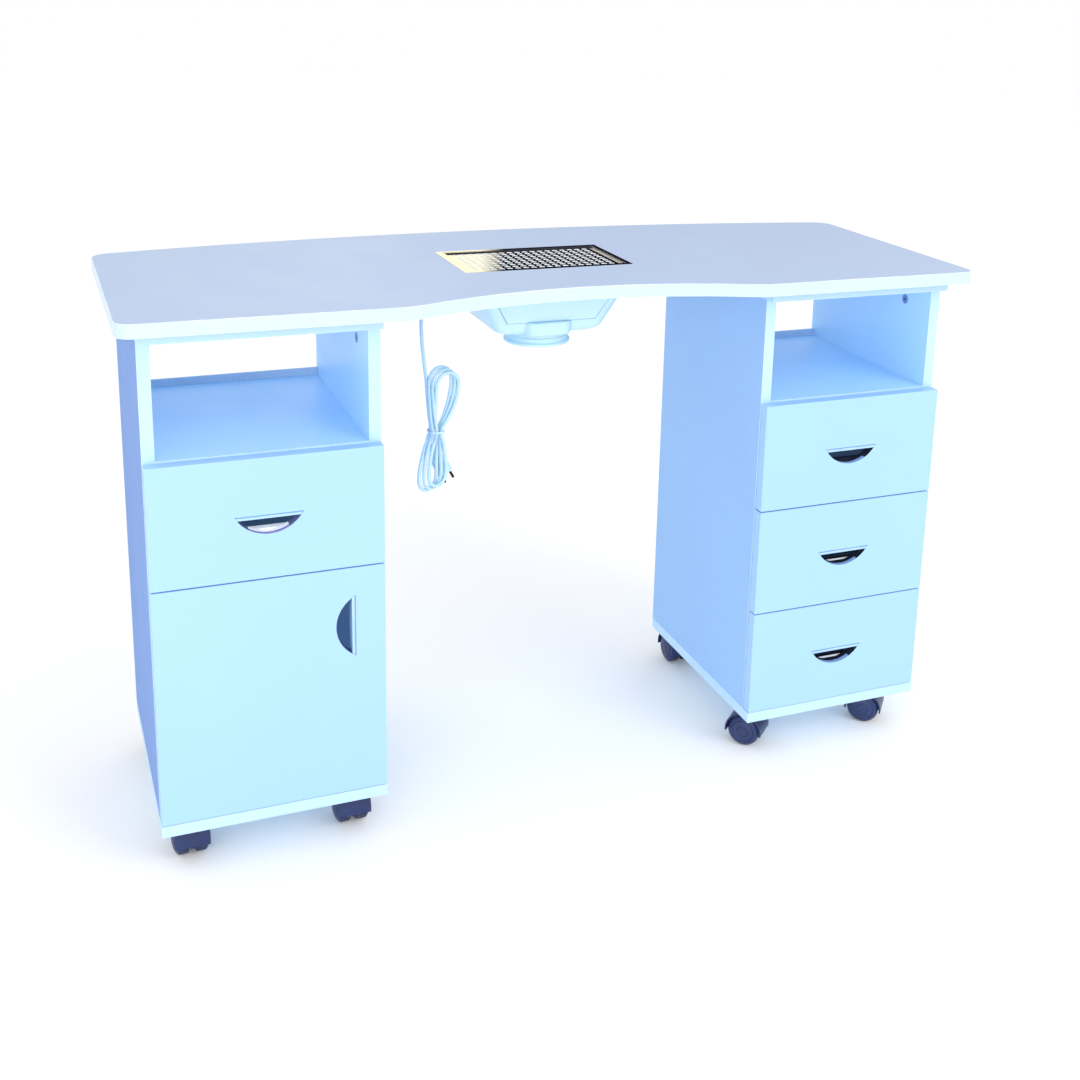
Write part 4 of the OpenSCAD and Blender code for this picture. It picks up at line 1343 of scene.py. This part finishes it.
def area_light(name, place, aim, size, power, colour=(1, 1, 1), height=None):
    """A soft rectangular light that points at a spot."""
    data = bpy.data.lights.new(name, "AREA")
    data.shape = "RECTANGLE"
    data.size, data.size_y = size, height or size
    data.energy = power
    data.color = colour
    made = bpy.data.objects.new(name, data)
    bpy.context.scene.collection.objects.link(made)
    made.location = place
    made.rotation_euler = (Vector(aim) - Vector(place)).to_track_quat("-Z", "Y").to_euler()
    made.visible_camera = False


def make_floor():
    """A plain pale floor."""
    mesh = bpy.data.meshes.new("floor")
    rim = arc((0, 0), 14.0, 0, 354, 59)
    mesh.from_pydata([(x, y, -0.0005) for x, y in rim], [], [tuple(range(len(rim)))])
    made = bpy.data.objects.new("floor", mesh)
    bpy.context.scene.collection.objects.link(made)
    pale = surface(
        "floor_pale", (0.93, 0.93, 0.93), 0.8, specular=0.1, cloud=0.8, cloud_dark=0.99, bump=0.05,
        glow=0.08,
    )
    mesh.materials.append(pale)


def make_world():
    """A soft white studio dome, brighter overhead; a dim stretch and a warm window low behind
    the table give the polished plate something to mirror."""
    world = bpy.data.worlds.new("studio")
    bpy.context.scene.world = world
    world.use_nodes = True
    tree = world.node_tree
    tree.nodes.clear()
    coords = tree.nodes.new("ShaderNodeTexCoord")
    split = tree.nodes.new("ShaderNodeSeparateXYZ")
    tree.links.new(coords.outputs["Generated"], split.inputs["Vector"])
    edge = math.radians(WINDOW_EDGE)
    side = tree.nodes.new("ShaderNodeVectorMath")
    side.operation = "DOT_PRODUCT"
    side.inputs[1].default_value = (math.cos(edge), -math.sin(edge), 0)
    tree.links.new(coords.outputs["Generated"], side.inputs[0])
    right_of_edge = remap(tree, side.outputs["Value"], -0.008, 0.008, 0.0, 1.0)
    near_edge = remap(tree, side.outputs["Value"], -0.24, -0.17, 0.0, 1.0)
    far_edge = remap(tree, side.outputs["Value"], 0.22, 0.32, 1.0, 0.0)
    low_down = remap(tree, split.outputs["Z"], 0.24, 0.32, 1.0, 0.0)
    behind = remap(tree, split.outputs["Y"], 0.25, 0.50, 0.0, 1.0)
    low_behind = times(tree, low_down, behind)
    dim = times(tree, times(tree, low_behind, right_of_edge), far_edge)
    window = times(tree, low_behind, times(tree, near_edge, far_edge))
    front = remap(tree, split.outputs["Y"], -0.6, 0.3, 1.0, 0.0)
    horizon = mix(tree, front, (HORIZON_BACK,) * 3, (HORIZON_FRONT,) * 3)
    height = remap(tree, split.outputs["Z"], 0.15, 0.75, 0.0, 1.0)
    sky = mix(tree, height, horizon, (ZENITH,) * 3)
    colour = mix(tree, window, sky, (1.5, 1.38, 0.98))
    colour = mix(tree, dim, colour, (0.01, 0.01, 0.02))
    light = tree.nodes.new("ShaderNodeBackground")
    tree.links.new(colour, light.inputs["Color"])
    plain = tree.nodes.new("ShaderNodeBackground")
    plain.inputs["Color"].default_value = (1.0, 1.0, 1.0, 1.0)
    rays = tree.nodes.new("ShaderNodeLightPath")
    choose = tree.nodes.new("ShaderNodeMixShader")
    out = tree.nodes.new("ShaderNodeOutputWorld")
    tree.links.new(rays.outputs["Is Camera Ray"], choose.inputs["Fac"])
    tree.links.new(light.outputs["Background"], choose.inputs[1])
    tree.links.new(plain.outputs["Background"], choose.inputs[2])
    tree.links.new(choose.outputs["Shader"], out.inputs["Surface"])


WINDOW_EDGE = 18.4
HORIZON_FRONT = 0.95
HORIZON_BACK = 0.92
ZENITH = 1.05

bpy.context.scene.view_settings.view_transform = "Standard"
make_world()
make_floor()
area_light("key", (1.9, -3.4, 3.0), (0, 0, 0.4), 2.0, 52)
area_light("fill", (-1.9, -2.7, 1.1), (0.2, 0, 0.5), 1.6, 26)

make_worktop()
make_vent_frame()
make_grille()
make_housing()
make_collar()
make_fan()
make_housing_screws()
make_cabinets()
make_cam_locks()
make_fronts()
for number, pivot, axle, trail in castor_places():
    make_hood(number, pivot, axle, trail)
    make_wheels(number, pivot, axle, trail)
make_castor_plates()
dress_cad_nodes()
